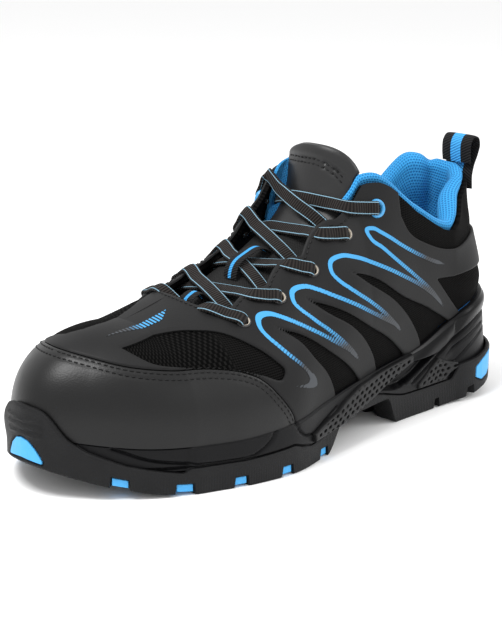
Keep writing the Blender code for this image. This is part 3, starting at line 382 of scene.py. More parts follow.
def wall_distance(u, side, z):
    """Distance of the upper's outer face from the spine at height z."""
    t = np.linspace(0, 1, 240)
    r, height = section(u[:, None], side[:, None], t[None, :] + 0 * u[:, None])
    at = crossing(height, z) * (len(t) - 1)
    i = np.clip(at.astype(int), 0, len(t) - 2)
    low, high = (np.take_along_axis(r, k[:, None], 1)[:, 0] for k in (i, i + 1))
    return low + (at - i) * (high - low)


gap_edges = np.array([m + s * w / 2 + e for m, w in LUG_GAPS.values() for s in (-1, 1)
                      for e in (-LUG_EDGE, LUG_EDGE)])
sole_rows = rows_every(SOLE_PITCH)
sole_rows = sole_rows[np.abs(sole_rows[:, None] - gap_edges).min(1) > 0.016]
sole_rows[0], sole_rows[-1] = 0.0, LAST_ROW
u, side = around(np.sort(np.concatenate([sole_rows, gap_edges])))
half = sided("half", u, side)
gap = sum(np.clip((w / 2 - np.abs(u - m)) / (2 * LUG_EDGE) + 0.5, 0, 1) for m, w in LUG_GAPS.values())


def tread(r, cut):
    """Lug face at distance r, raised by the lug depth where cut is 1."""
    p = place(u, side, r, 0.0)
    p[:, 2] = ground(p[:, 0]) + LUG_DEPTH * cut * (1 - arch(p[:, 0]))
    return p


def on_top(r):
    """Point of the outsole's upper face at distance r."""
    p = place(u, side, r, 0.0)
    p[:, 2] = outsole_top(p[:, 0])
    return p


floor_z = on_top(half - 2 * RIM)[:, 2]
side_edge = np.maximum(np.interp(place(u, side, half, 0.0)[:, 0], *SIDE_EDGE), floor_z + 0.1)
rim = side_edge + (np.maximum(rim_height(u), floor_z + 0.4) - side_edge) * rim_share(u)
feather = column("feather", u)
over = ease((rim - feather + 2.0) / 4.0)
guard = wall_distance(u, side, np.maximum(rim, feather)) + UPPER_CLEAR
rim_in = half - RIM + over * np.maximum(guard - half + RIM, 0)
outer = np.maximum(half, rim_in + RIM)
wall_low = tread(half, gap)[:, 2] + 0.6
rim_top = np.maximum(rim - 1.0, wall_low + 1.4)
wall = []
for share in np.linspace(0, 1, SOLE_WALL_STEPS):
    z = wall_low + (rim_top - wall_low) * share
    out = half + (outer - half) * ease((z - floor_z) / np.maximum(rim - floor_z, 1.0))
    for height in GUARD_RIDGES:
        out = out + RIDGE_STAND * np.exp(-((z - height) / RIDGE_WIDTH) ** 2) * ease((u - RIDGE_ROW) / 0.06)
    for leaf_rows, low, high in (TOE_LEAF, HEEL_LEAF):
        inset = ease((z - np.interp(u, leaf_rows, low)) + 1) * ease((np.interp(u, leaf_rows, high) - z) + 1)
        inset = inset * ease((u - leaf_rows[0]) / 0.03 + 1) * ease((leaf_rows[-1] - u) / 0.03 + 1)
        out = out - INLAY_DEPTH * inset
    wall.append(place(u, side, out, z))
middle_gap = gap * (u > STRAIGHT_ROWS[0]) * (u < STRAIGHT_ROWS[1])
rings = [on_top(0 * half), on_top(half - 2 * RIM), place(u, side, half - RIM - 0.05, floor_z),
         place(u, side, half - RIM, np.maximum(np.minimum(rim, feather - 1.0), floor_z + 0.05)),
         place(u, side, rim_in + 0.1, rim - 0.3), place(u, side, rim_in + 0.5, rim),
         place(u, side, outer - 0.6, rim)]
wall_from = len(rings)
rings += wall[::-1]
rings += [tread(half - LUG_ROUND, gap), tread(half * 0.9, gap), tread(half * SIDE_LUG + LUG_ROUND, gap),
          tread(half * SIDE_LUG, 1 - 0.7 * (1 - gap)), tread(half * SIDE_LUG - LUG_ROUND, 1.0),
          tread(half * CENTRE_LUG, 1.0), tread(half * CENTRE_LUG - LUG_ROUND, 1 - 0.7 * (1 - middle_gap)),
          tread(half * CENTRE_LUG - 2 * LUG_ROUND, middle_gap), tread(half * 0.25, middle_gap),
          tread(0 * half, middle_gap)]
rings = np.stack(rings, 1)
along = np.repeat((lengths(place(u, side, half, 0.0)))[:, None], rings.shape[1], 1)
ring = np.arange(rings.shape[1])
on_wall = (ring > wall_from) & (ring < wall_from + len(wall))
lug_side = (rings[..., 2] < (floor_z - 1.5)[:, None]) & on_wall


def feed(value, socket):
    """Links a value to a shader's input."""
    value.tree.links.new(value.socket, socket)


def mixed(share, first, second):
    """Colour between two, by a share from 0 to 1."""
    ends = [v if isinstance(v, Socket) else (*v, 1.0) for v in (first, second)]
    return share.node("ShaderNodeMix", {"data_type": "RGBA"}, {0: share, 6: ends[0], 7: ends[1]}, 2)


def noise(start, where, size, detail=2.0):
    """Cloudy value from 0 to 1 with blots about size mm across."""
    inputs = {"Vector": where, "Scale": 1.0 / (size * MM), "Detail": detail}
    return start.node("ShaderNodeTexNoise", {}, inputs, "Fac")


def emboss(height, depth, shader):
    """Bump from a height of 0 to 1 that stands depth mm high."""
    bump = height.node("ShaderNodeBump", {}, {"Height": height, "Distance": depth * MM})
    feed(bump, shader["Normal"])


def object_place(start):
    """Coordinates of the piece, in metres."""
    return start.node("ShaderNodeTexCoord", out="Object")


def surface_place(start):
    """The two coordinates of the piece's own surface map, in mm."""
    parts = start.node("ShaderNodeSeparateXYZ", {}, {0: start.node("ShaderNodeUVMap", {"uv_map": "surface"})})
    return parts, Socket(parts.tree, parts.socket.node.outputs["Y"])


def mark(start, name):
    """Value that the piece's points carry under a name."""
    return start.node("ShaderNodeAttribute", {"attribute_name": name}, out="Fac")


rubber, shader, start = new_finish("moulded_rubber", (0.008, 0.008, 0.0085), 0.55, 0.18)
where = object_place(start)
run, _ = surface_place(start)
lug = mark(start, "lug_side")
ribs = (run * 4.6).maths("SINE") * 0.12 * lug
grain = noise(start, where, 0.55, 3.0)
emboss(grain * 0.9 + ribs, 0.34, shader)
worn = noise(start, where, 9.0, 3.0)
feed(mixed(worn, (0.005, 0.005, 0.0055), (0.010, 0.010, 0.0105)), shader["Base Color"])
feed(grain * 0.25 + 0.42, shader["Roughness"])
add_piece("sole_rubber", rings, grid(*rings.shape[:2]), rubber, "sole_rubber", ("outsole",),
          np.stack([along, rings[..., 2]], -1), {"lug_side": lug_side})

# Inlays: blocks of blue rubber let into the lug gaps, the toe and the heel corners.
# They keep the shape of their solids, with the edges eased.
BLUE = (0.055, 0.300, 0.590)
INLAY_EASE = 0.35
inlay_blue, shader, start = new_finish("blue_rubber", BLUE, 0.5, 0.25)
where = object_place(start)
grain = noise(start, where, 0.6, 3.0)
emboss(grain, 0.12, shader)
feed(mixed(noise(start, where, 6.0), (0.062, 0.360, 0.740), (0.080, 0.400, 0.790)), shader["Base Color"])
feed(grain * 0.2 + 0.36, shader["Roughness"])
for name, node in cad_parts.items():
    if name.startswith("inlay_"):
        node.data.materials.clear()
        node.data.materials.append(inlay_blue)
        weld = node.modifiers.new("weld", "WELD")
        weld.merge_threshold = 1e-6
        eased = node.modifiers.new("eased", "BEVEL")
        eased.width = INLAY_EASE * MM
        eased.segments = 2

# Midsole: black foam, moulded in one piece and cemented between outsole and upper. A crescent is
# grooved into its forefoot wall, and at the heel a block stands out below a smooth rising band.
TOP_EDGE_STEP = 2.5
FOOTBED_HEEL = 39.0            # highest middle of the footbed, under the heel
FOOTBED_CUP = 0.45             # share of the way up to the foot of the upper that it rises to its edge
GAP = 0.3
WALL = 2.2                     # thickness of the upper
GROOVES = {                    # lines in side view (x, z) that are cut into the wall
    "crescent": ((272, 23.6), (259, 17.6), (247, 15.1), (225, 13.5), (209, 14.7), (201, 19.6),
                 (197.5, 24.2)),
    "quarter":  ((185.5, 25.5), (183.2, 20.0), (179, 16.8), (174.2, 15.4), (168, 16.0), (161.6, 18.2),
                 (150, 22.4)),
    "block":    ((52, 26.8), (44.6, 31.2), (36, 35.2), (27, 38.6), (21, 39.8)),
    "corner":   ((44, 22.6), (35.5, 29.2), (24.3, 34.6), (12, 37.0), (4, 37.6)),
}
GROOVE_DEPTH, GROOVE_WIDTH = 1.4, 0.6
# Heel, side view (x, z): foot of the smooth band, with a deep channel under it, and the hollow before it
BAND_FOOT = ((-5, 47.5), (8, 47.0), (16, 46.4), (25, 45.2), (38, 40.3), (50.7, 33.6), (60, 29.0), (68, 25.0),
             (80, 19.0))
BAND_BULGE, BAND_MIDDLE, BAND_SPREAD = 1.3, 5.6, 4.4
BAND_START, BAND_RUN = 92.0, 14.0              # x where the band begins, and length to its full depth
CHANNEL_DEPTH, CHANNEL_BELOW, CHANNEL_WIDTH = 2.4, 0.8, 1.0
HEEL_HOLLOW = ((57, 30.6), (70, 30.4), (80, 30.2), (97, 24.6), (112, 20.6), (105, 19.2), (97, 17.4),
               (89, 17.6), (80, 20.9), (69, 26.0))
HOLLOW_DEPTH = 4.5
SEAT_DEPTH, SEAT_END = 1.5, 262.0              # groove along the rubber's upper edge: depth, and x of its end
WALL_IN = 0.4                  # from the sole's outline to the wall
WALL_FOOT = 0.9                # round of the wall's lower edge
TOP_TUCK = 0.8                 # of the wall's upper edge
BED_CLEAR = 1.2                # from the upper's wall to the bed
MIDSOLE_PITCH, MIDSOLE_WALL_STEPS = 1.2, 84    # of the mesh, along and up the wall


def curve(points, pitch):
    """Smooth curve through points, sampled pitch apart: cubics with the mean slopes at the points."""
    points = np.asarray(points, float)
    chord = lengths(points)
    slope = np.gradient(points, chord, axis=0)
    at = np.linspace(0, chord[-1], int(chord[-1] / pitch) + 2)
    i = np.clip(np.searchsorted(chord, at, "right") - 1, 0, len(points) - 2)
    step = (chord[i + 1] - chord[i])[:, None]
    s = (at - chord[i])[:, None] / step
    rise = points[i] * (1 + 2 * s) * (1 - s) ** 2 + points[i + 1] * s * s * (3 - 2 * s)
    return rise + step * (slope[i] * s * (1 - s) ** 2 - slope[i + 1] * s * s * (1 - s))


def nearest(a, b, line):
    """Distance from points (a, b) to a line in their plane, and how far along it the nearest point lies."""
    line = np.asarray(line, float)
    step = np.diff(line, axis=0)
    size = np.maximum(np.linalg.norm(step, axis=1), 1e-9)
    da, db = a[..., None] - line[:-1, 0], b[..., None] - line[:-1, 1]
    s = np.clip((da * step[:, 0] + db * step[:, 1]) / size ** 2, 0, 1)
    gaps = np.hypot(da - s * step[:, 0], db - s * step[:, 1])
    k = gaps.argmin(-1)[..., None]
    start_at = np.concatenate([[0], np.cumsum(size)[:-1]])
    run_at = start_at[k] + np.take_along_axis(s, k, -1) * size[k]
    return np.take_along_axis(gaps, k, -1)[..., 0], run_at[..., 0]


def inside_by(a, b, outline):
    """Signed distance of points (a, b) from a closed outline in their plane, positive inside."""
    outline = np.asarray(outline, float)
    closed = np.concatenate([outline, outline[:1]])
    odd = np.zeros(np.shape(a), bool)
    for (a0, b0), (a1, b1) in zip(closed[:-1], closed[1:]):
        if b0 != b1:
            odd ^= ((b0 > b) != (b1 > b)) & (a < a0 + (b - b0) / (b1 - b0) * (a1 - a0))
    return np.where(odd, 1, -1) * nearest(a, b, closed)[0]


u, side = around(rows_every(MIDSOLE_PITCH))
half = sided("half", u, side)
feather = column("feather", u) - GAP
edge = half - WALL_IN - (RIM + 2 * GAP - WALL_IN) * rim_share(u + np.where(u < 6, -0.12, 0.12))
top_edge = half - column("inset", u) + TOP_EDGE_STEP
tight = rim_share(u) * ease((rim_height(u) - column("feather", u) + 5) / 2)
top_edge = top_edge + (half - RIM - 2 * GAP - top_edge) * tight
top_edge = np.minimum(top_edge, edge - 0.2)


def midsole_low(r, lift):
    """Point of the midsole's lower face at distance r, or lifted from it."""
    p = place(u, side, r, 0.0)
    p[:, 2] = outsole_top(p[:, 0]) + GAP + lift
    return p


def footbed(u, side, r):
    """Height of the midsole's upper face: a shallow cup that rises evenly from the spine to its edge."""
    low = np.minimum(column("feather", np.clip(u, *STRAIGHT_ROWS)), FOOTBED_HEEL)
    foot = sided("half", u, side) - column("inset", u)
    return low + FOOTBED_CUP * (column("feather", u) - low) * np.clip(r / foot, 0, 1)


foot_z = midsole_low(edge, WALL_FOOT)[:, 2]
share = np.linspace(0, 1, MIDSOLE_WALL_STEPS)[None, :]
wall_z = foot_z[:, None] + (feather - foot_z)[:, None] * share
wall_r = edge[:, None] + (top_edge - edge)[:, None] * share
flat = place(u[:, None], side[:, None], wall_r, wall_z)
push = 0 * wall_z
for line in GROOVES.values():
    far = nearest(flat[..., 0], wall_z, curve(line, 1.5))[0]
    push = push - GROOVE_DEPTH * np.exp(-(far / GROOVE_WIDTH) ** 2)
band_line = curve(BAND_FOOT, 1.5)
under_band = np.interp(flat[..., 0], *band_line.T)
channel = nearest(flat[..., 0], wall_z, band_line)[0]
above = np.where(wall_z > under_band, channel, -channel)
rearward = ease((BAND_START - flat[..., 0]) / BAND_RUN)
push = push + BAND_BULGE * np.exp(-((above - BAND_MIDDLE) / BAND_SPREAD) ** 2) * rearward
push = push - CHANNEL_DEPTH * np.exp(-((above + CHANNEL_BELOW) / CHANNEL_WIDTH) ** 2) * rearward
in_hollow = inside_by(flat[..., 0], wall_z, HEEL_HOLLOW)
push = push - HOLLOW_DEPTH * ease(in_hollow / 2.4)
gloss = np.maximum(rearward * ease(above + 0.5), ease(in_hollow / 1.5))
seat = wall_z - np.interp(flat[..., 0], *SIDE_EDGE)
seated = (flat[..., 0] > SIDE_EDGE[0][0]) & (flat[..., 0] < SEAT_END)
push = push - SEAT_DEPTH * np.exp(-((seat - 0.3) / 0.6) ** 2) * seated
push = push - TOP_TUCK * ease(share * 12 - 11)
wall_r = np.minimum(wall_r + push, np.where(rim_share(u)[:, None] > 0.5, edge[:, None] + 0.2, 1e9))
rings = [midsole_low(0 * half, 0), midsole_low(half - 2 * RIM, 0), midsole_low(edge - WALL_FOOT, 0)]
wall_from = len(rings)
rings += list(place(u[:, None], side[:, None], wall_r, wall_z).transpose(1, 0, 2))
rings += [place(u, side, top_edge - 1.3, feather + 0.1), place(u, side, top_edge - 2.4, feather)]
for part in (1.0, 0.6, 0.3, 0.0):
    r = (half - column("inset", u) - WALL - BED_CLEAR) * part
    rings.append(place(u, side, r, footbed(u, side, r) - GAP))
rings = np.stack(rings, 1)
marks = np.zeros(rings.shape[:2])
marks[:, wall_from:wall_from + gloss.shape[1]] = gloss

foam, shader, start = new_finish("midsole_foam", (0.004, 0.004, 0.0045), 0.42, 0.13)
where = object_place(start)
glossy = mark(start, "gloss")
grain = noise(start, where, 0.5, 2.0)
emboss(grain * (1 - glossy), 0.09, shader)
feed(noise(start, where, 14.0, 2.0) * 0.08 + 0.38 - glossy * 0.14, shader["Roughness"])
matte = mixed(grain, (0.003, 0.003, 0.0034), (0.007, 0.007, 0.0077))
feed(mixed(glossy, matte, (0.002, 0.002, 0.0024)), shader["Base Color"])
add_piece("midsole_wall", rings, grid(*rings.shape[:2]), foam, "midsole_foam", ("midsole",), None,
          {"gloss": marks})

# Perforated trims: moulded plastic strips along both sides of the arch and a patch at each side of
# the heel block, set on the midsole's wall. Rows of small oval holes are sunk into them, and painted
# shade darkens their floors to near-black.
STRIP_HIGH = ((78, 35.0), (95, 33.0), (112, 31.0), (129, 28.5), (142, 24.5), (150, 20.8), (166, 17.0),
              (175, 14.5))
STRIP_LOW = ((79, 31.0), (97, 25.5), (119, 19.0), (134, 15.2), (149, 12.4), (160, 11.8), (175, 11.4))
STRIP_SPAN = (172.0, 82.0)
PATCH_HIGH = ((44, 22.4), (57.7, 27.4), (66, 23.4), (77, 16.6))
PATCH_LOW = ((44, 20.6), (53.6, 14.6), (77, 14.4))
PATCH_SPAN = (77.0, 44.0)
HOLE_PITCH, HOLE_LENGTH, HOLE_WIDTH, HOLE_DEPTH = 4.6, 1.2, 0.7, 1.3
HOLE_ROW = 2.6                 # distance between rows of holes
STRIP_PROUD, PATCH_PROUD = 1.7, 0.9            # how far each stands out of the wall
STRIP_ROUND = 1.1              # of a strip's edges
TRIM_BACK = 1.4                # of a strip's flat back, inside the wall


def row_at(x):
    """Row number of the square section at x."""
    rows = np.linspace(*STRAIGHT_ROWS, 701)
    return np.interp(x, column("x", rows), rows)


def on_midsole(x, z, side, out):
    """Point on the midsole's wall at x and z, moved outwards."""
    u = row_at(x)
    half = sided("half", u, side)
    edge = half - WALL_IN
    top = half - column("inset", u) + TOP_EDGE_STEP
    foot = outsole_top(x) + GAP + WALL_FOOT
    share = np.clip((z - foot) / (column("feather", u) - GAP - foot), 0, 1)
    return place(u, side, edge + (top - edge) * share + out, z)


def loft_faces(n, m):
    """Quads of n closed profiles of m points, the last point on the first, with both ends closed."""
    faces = grid(n, m)
    j = np.arange(m // 2 - 1)
    cap = np.stack([j, j + 1, m - 3 - j, m - 2 - j], 1)
    return np.concatenate([faces, cap, cap[:, ::-1] + (n - 1) * m])


def perforated(name, high, low, span, side, proud, finish, slot, nodes):
    """Strip between two lines of the side view: rounded edges, staggered oval dimples, a flat back."""
    x = np.linspace(*span, int(abs(span[1] - span[0]) / 0.45))[:, None]
    b = np.linspace(0, 1, 36)[None, :]
    top = np.interp(x, *np.transpose(high))
    top = np.minimum(top, column("feather", row_at(x)) - 0.6)
    base = np.interp(x, *np.transpose(low))
    top = np.maximum(top, base + 2.0)
    z = base + (top - base) * b
    rim = np.minimum(np.minimum(z - base, top - z), np.minimum(np.abs(x - span[0]), np.abs(x - span[1])))
    edge_round = np.sqrt(np.clip(1 - (1 - np.clip(rim / STRIP_ROUND, 0, 1)) ** 2, 0, 1))
    slope = np.gradient((base + top)[:, 0] / 2, x[:, 0])[:, None]
    run = lengths(np.concatenate([x, (base + top) / 2], 1))[:, None]
    across = (z - (base + top) / 2) / np.sqrt(1 + slope ** 2)
    line = np.round(across / HOLE_ROW)
    offset = run / HOLE_PITCH + 0.5 * (line % 2)
    away = np.hypot((offset - np.round(offset)) * HOLE_PITCH / HOLE_LENGTH,
                    (across - line * HOLE_ROW) / HOLE_WIDTH)
    room = ease((rim - 0.8) / 0.5)
    hole = room * ease((1.15 - away) / 0.4)
    face = on_midsole(x, z, side, 0.5 + proud * edge_round - HOLE_DEPTH * hole)
    rear = on_midsole(x, z, side, -TRIM_BACK + 0 * z)
    points = np.concatenate([face, rear[:, ::-1]], 1)
    points = np.concatenate([points, points[:, :1]], 1)
    marks = np.concatenate([hole, 0 * hole, hole[:, :1]], 1)
    add_piece(name, points, loft_faces(*points.shape[:2]), finish, slot, nodes, None, {"hole": marks})


plastic, shader, start = new_finish("strip_plastic", (0.010, 0.010, 0.0105), 0.40, 0.2)
where = object_place(start)
hole = mark(start, "hole")
# Painted shade: the holes' floors are coloured near-black, as if shaded deep inside.
feed(mixed(hole, (0.010, 0.010, 0.0105), (0.0005, 0.0005, 0.0005)), shader["Base Color"])
feed(hole * 0.4 + 0.40, shader["Roughness"])
emboss(noise(start, where, 0.5), 0.06, shader)
for word, way in (("lat", 1.0), ("med", -1.0)):
    perforated(f"arch_trim_{word}", STRIP_HIGH, STRIP_LOW, STRIP_SPAN, way, STRIP_PROUD, plastic,
               "strip_plastic", (f"arch_strip_{word}",))
    perforated(f"heel_patch_{word}", PATCH_HIGH, PATCH_LOW, PATCH_SPAN, way, PATCH_PROUD, plastic,
               "strip_plastic", ())

# Insole: a foam bed with a blue knitted face, laid on the midsole inside the upper.
# It follows the footbed and stops short of the upper's wall.
INSOLE_THICK, INSOLE_PITCH = 3.2, 2.0
INSOLE_PROFILE = ((0.0, 0.0), (0.6, 0.0), (1.0, 0.0), (1.0, 0.8), (0.985, 1.0), (0.9, 1.0), (0.7, 1.0),
                  (0.4, 1.0), (0.0, 1.0))      # shares of the half width and of the thickness
u, side = around(rows_every(INSOLE_PITCH))
edge = sided("half", u, side) - column("inset", u) - WALL - BED_CLEAR
rings = [place(u, side, edge * a, footbed(u, side, edge * a) + INSOLE_THICK * b) for a, b in INSOLE_PROFILE]
rings = np.stack(rings, 1)
knit, shader, start = new_finish("insole_knit", (0.04, 0.26, 0.58), 0.9, 0.1)
where = object_place(start)
cells = start.node("ShaderNodeTexVoronoi", {}, {"Vector": where, "Scale": 700.0}, "Distance")
emboss(cells, 0.25, shader)
feed(mixed(cells, (0.016, 0.120, 0.360), (0.040, 0.260, 0.640)), shader["Base Color"])
add_piece("insole_bed", rings, grid(*rings.shape[:2]), knit, "insole_fabric", ("insole",))

# Upper: black woven ripstop and open mesh, lasted into one hollow shell 2.2 mm thick.
# It shows in the windows of the overlay, where it swells a little, and round the collar.
THROAT = {"top": 107.0, "front": 209.0, "lat": (27.0, 25.0), "med": (29.0, 23.0), "square": 24.0}
THROAT_REAR = 70.0             # x behind the collar's edge where the opening's outline starts
WINDOWS = {                    # side view (x, z), round each window from its tip
    "rear":   ((132, 85.5), (117, 81), (92, 67), (65, 54.5), (46, 42), (40, 30), (70, 30), (73, 38),
               (82, 50.5), (98, 65), (118, 77)),
    "middle": ((162, 76.2), (146, 70.6), (121, 57.2), (97, 43), (86, 33), (80, 24), (110, 24),
               (112, 33), (123, 49), (136, 60), (151, 68.6)),
    "front":  ((185, 66.8), (174, 63), (156, 52.5), (128, 31), (120, 20), (146, 20), (149, 28.5),
               (157, 41), (168, 51.7), (175, 59.8)),
    "vamp":   ((256, 64), (236, 67.2), (221, 68), (210, 66.6), (201, 61.5), (193, 54.6), (189, 49),
               (191, 46.3), (202, 49.2), (210, 52.0), (223, 54.8), (239, 56.4), (250, 59)),
}
MEDIAL_LIMIT = 22.0            # from the middle, where the medial windows end towards the top of the foot
VAMP_LIMIT = ((205, 219, 225, 230, 236, 247, 258, 266),
              (21, 17.7, 14.7, 13.1, 11.3, 8.5, 9.7, 16))      # the same for the vamp's: x, limit
VAMP_SPAN, VAMP_FOOT = (207.0, 264.0), 55.0    # x and lowest z of the part of it that lies over the toes
LATERAL_LIMIT = 12.0
FAR_OUT = 1e3                  # distance that stands for nowhere near
MESH_FROM = 214.0              # x where the vamp's mesh begins, ahead of the ripstop
HEEL_WINDOW = ((62, 70.5), (47, 69.5), (30, 70.5), (-20, 73), (-20, 20), (30, 20), (40, 48))
COLLAR_PANEL = ((92, 140), (90, 107), (85, 99), (68, 89.5), (47, 84), (25, 86), (-20, 94), (-20, 150))
TOE_CAP = ((184, 10), (185, 24), (194, 37.5), (205, 48.5), (211, 51.2), (224, 54), (245, 55.5),
           (261, 58), (272, 61.5), (285, 66), (310, 80))
TOE_FRONT = ((330, 60), (330, 10))
SWELL = 0.7                    # of the fabric in the windows
YARN = 5.2                     # ripstop's ribs, in radians per mm
DASH_ROW = 2.2                 # height of a row of the mesh


def skin(u, side, t):
    """Point of the upper's outer face."""
    return place(u, side, *section(u, side, t))


def skin_normal(u, side, t):
    """Outward unit normal of the upper's outer face; along the ridge it is the ridge's own."""
    e = 0.004
    t = np.clip(t, e, 1 - 2 * e)
    run = skin(np.clip(u + e, 0, LAST_ROW), side, t) - skin(np.clip(u - e, 0, LAST_ROW), side, t)
    rise = skin(u, side, t + e) - skin(u, side, t - e)
    n = np.cross(run, rise) * -np.asarray(side)[..., None]
    on_ridge = (t > 1 - 3 * e) & (sided("edge", u, side) < e)
    behind = np.clip(u, *STRAIGHT_ROWS)
    step = [column(name, behind) - column(name, behind - e) for name in ("x", "top_lat")]
    n = np.where(on_ridge[..., None], np.stack([-step[1], 0 * step[0], step[0]], -1), n)
    return n / np.linalg.norm(n, axis=-1, keepdims=True)


def throat_half(x, side):
    """Distance of the throat's edge from the shoe's middle plane."""
    f = np.clip((x - THROAT["top"]) / (THROAT["front"] - THROAT["top"]), 0, 1)
    rear, front = THROAT["lat" if side > 0 else "med"]
    return (rear + (front - rear) * f) * np.sqrt(1 - f ** THROAT["square"])


def throat_outline(tabs):
    """Plan (x, y) of the throat's opening: a long tapering U, its edges moved in by tabs(x, side)."""
    x = THROAT_REAR + (THROAT["front"] - THROAT_REAR) * (1 - np.linspace(1, 0, 160) ** 2)
    edges = [np.stack([x, way * np.maximum(throat_half(x, way) - tabs(x, way), 0)], 1) for way in (1, -1)]
    return np.concatenate([edges[0], edges[1][-2::-1]])


def split(data, faces, f):
    """Triangles divided along the line where f is 0; the points' data and f are interpolated there."""
    f = np.where(np.abs(f) < 1e-4, 1e-4, f)
    above = f[faces] > 0
    cut = (above.sum(1) == 1) | (above.sum(1) == 2)
    lone = np.where((above[cut].sum(1) == 1)[:, None], above[cut], ~above[cut]).argmax(1)
    a, b, c = np.take_along_axis(faces[cut], (lone[:, None] + np.arange(3)) % 3, 1).T
    pairs = np.sort(np.concatenate([np.stack([a, b], 1), np.stack([a, c], 1)]), 1)
    edges, which = np.unique(pairs, axis=0, return_inverse=True)
    p, q = edges.T
    s = f[p] / (f[p] - f[q])
    ab, ac = len(data) + which.reshape(2, -1)
    divided = [np.stack(corners, 1) for corners in ((a, ab, ac), (ab, b, c), (ab, c, ac))]
    added = data[p] + s[:, None] * (data[q] - data[p])
    return np.concatenate([data, added]), np.concatenate([faces[~cut], *divided]), np.concatenate([f, 0 * s])


def kept(data, faces, f):
    """The triangles on the positive side of f, which already follow its line, and the points they use."""
    faces = faces[f[faces].sum(1) > 0]
    used, index = np.unique(faces, return_inverse=True)
    return data[used], index.reshape(-1, 3), f[used]


def shell(data, faces, outer, inner):
    """Points and triangles of a closed sheet: its two faces at their lifts and a wall round its edges."""
    count = len(data)
    lifts = [np.reshape(lift, (-1, 1)) for lift in (outer, inner)]
    points = np.concatenate([data[:, :3] + data[:, 3:6] * lift for lift in lifts])
    sides = np.concatenate([faces[:, [0, 1]], faces[:, [1, 2]], faces[:, [2, 0]]])
    _, first, number = np.unique(np.sort(sides, 1), axis=0, return_index=True, return_counts=True)
    a, b = sides[first[number == 1]].T
    walls = np.concatenate([np.stack([b, a, a + count], 1), np.stack([b, a + count, b + count], 1)])
    return points, np.concatenate([faces, faces[:, ::-1] + count, walls])


def skin_grid(pitch, steps):
    """The whole outer face as triangles. Data of a point: place, normal, run along, rise, row, side, t."""
    u, side = around(rows_every(pitch))
    t = np.linspace(0, 1, steps)
    U, T = np.meshgrid(u, t, indexing="ij")
    S = side[:, None] + 0 * T
    P = skin(U, S, T)
    run = lengths(place(u, side, sided("half", u, side), 0.0))
    run = np.abs(run - run[len(run) // 2])[:, None] + 0 * T
    rise = np.concatenate([0 * U[:, :1], np.cumsum(np.linalg.norm(np.diff(P, axis=1), axis=2), axis=1)], 1)
    data = np.concatenate([P, skin_normal(U, S, T), np.stack([run, rise, U, S, T], -1)], -1).reshape(-1, 11)
    _, first, index = np.unique(np.round(data[:, :3], 3), axis=0, return_index=True, return_inverse=True)
    quads = index.ravel()[grid(*U.shape)]
    faces = np.concatenate([quads[:, :3], quads[:, [0, 2, 3]]])
    degenerate = (faces[:, 0] == faces[:, 1]) | (faces[:, 1] == faces[:, 2]) | (faces[:, 2] == faces[:, 0])
    return data[first], faces[~degenerate]


def no_tabs(x, side):
    """The fabric's own edge has no tabs."""
    return 0 * x


def window_fields(data):
    """Signed distances, positive inside, from each window of the overlay in side view, by name."""
    x, y, z = data[:, :3].T
    fields = {name: inside_by(x, z, curve(line + line[:1], 1.5)) for name, line in WINDOWS.items()}
    for name in WINDOWS:
        limit = np.interp(x, *VAMP_LIMIT) if name == "vamp" else MEDIAL_LIMIT
        fields[name] = np.minimum(fields[name], np.where(y > 0, y - LATERAL_LIMIT, -y - limit))
    over_toes = np.minimum(-y - np.interp(x, *VAMP_LIMIT), np.minimum(VAMP_SPAN[1] - x, x - VAMP_SPAN[0]))
    over_toes = np.where(y < -5, np.minimum(over_toes, z - VAMP_FOOT), -FAR_OUT)
    fields["vamp"] = np.maximum(fields["vamp"], over_toes)
    fields["heel"] = inside_by(x, z, HEEL_WINDOW)
    panel = np.concatenate([COLLAR_PANEL[:1], curve(COLLAR_PANEL[1:-1], 1.5), COLLAR_PANEL[-1:]])
    fields["collar"] = inside_by(x, z, panel)
    return fields


data, faces = skin_grid(pitch=2.0, steps=52)
fields = window_fields(data)
opening = -inside_by(data[:, 0], data[:, 1], throat_outline(no_tabs))
puff = np.max([ease(f / 7.0) for f in fields.values()], axis=0) * ease(data[:, 7] / 8)
mesh_zone = np.clip(fields["vamp"] + 2.0, 0, 1) * ease((data[:, 0] - MESH_FROM) / 2 + 0.5)
data = np.column_stack([data, puff, mesh_zone])
data, faces, opening = kept(*split(data, faces, opening))
points, faces = shell(data, faces, SWELL * data[:, 11], -WALL)


def clamped(value):
    """The value, kept from 0 to 1."""
    return value.node("ShaderNodeClamp", {}, {0: value})


ripstop, shader, start = new_finish("woven_upper", (0.003, 0.003, 0.003), 0.85, 0.05)
run, rise = surface_place(start)
open_mesh = mark(start, "open_mesh")
wave = (run * YARN).maths("SINE")
ribs = (rise * YARN + wave * 0.35).maths("SINE")
yarn = ribs * 0.35 + wave * 0.25 + 0.5
shift_row = (rise * (1 / DASH_ROW)).maths("FLOOR") * np.pi
bars = (rise * (np.pi / DASH_ROW)).maths("SINE").maths("ABSOLUTE")
lattice = (run * 2.5 + shift_row).maths("SINE") * bars
dashes = clamped(lattice * 1.6 + 0.15)
weave = yarn * (1 - open_mesh) + dashes * 1.6 * open_mesh
emboss(weave, 0.30, shader)
feed(mixed(weave, (0.0003, 0.0003, 0.0003), (0.0075, 0.0072, 0.007)), shader["Base Color"])
add_piece("woven_upper", points, faces, ripstop, "upper_fabric", ("upper",),
          np.tile(data[:, 6:8], (2, 1)), {"open_mesh": np.tile(data[:, 12], 2)})

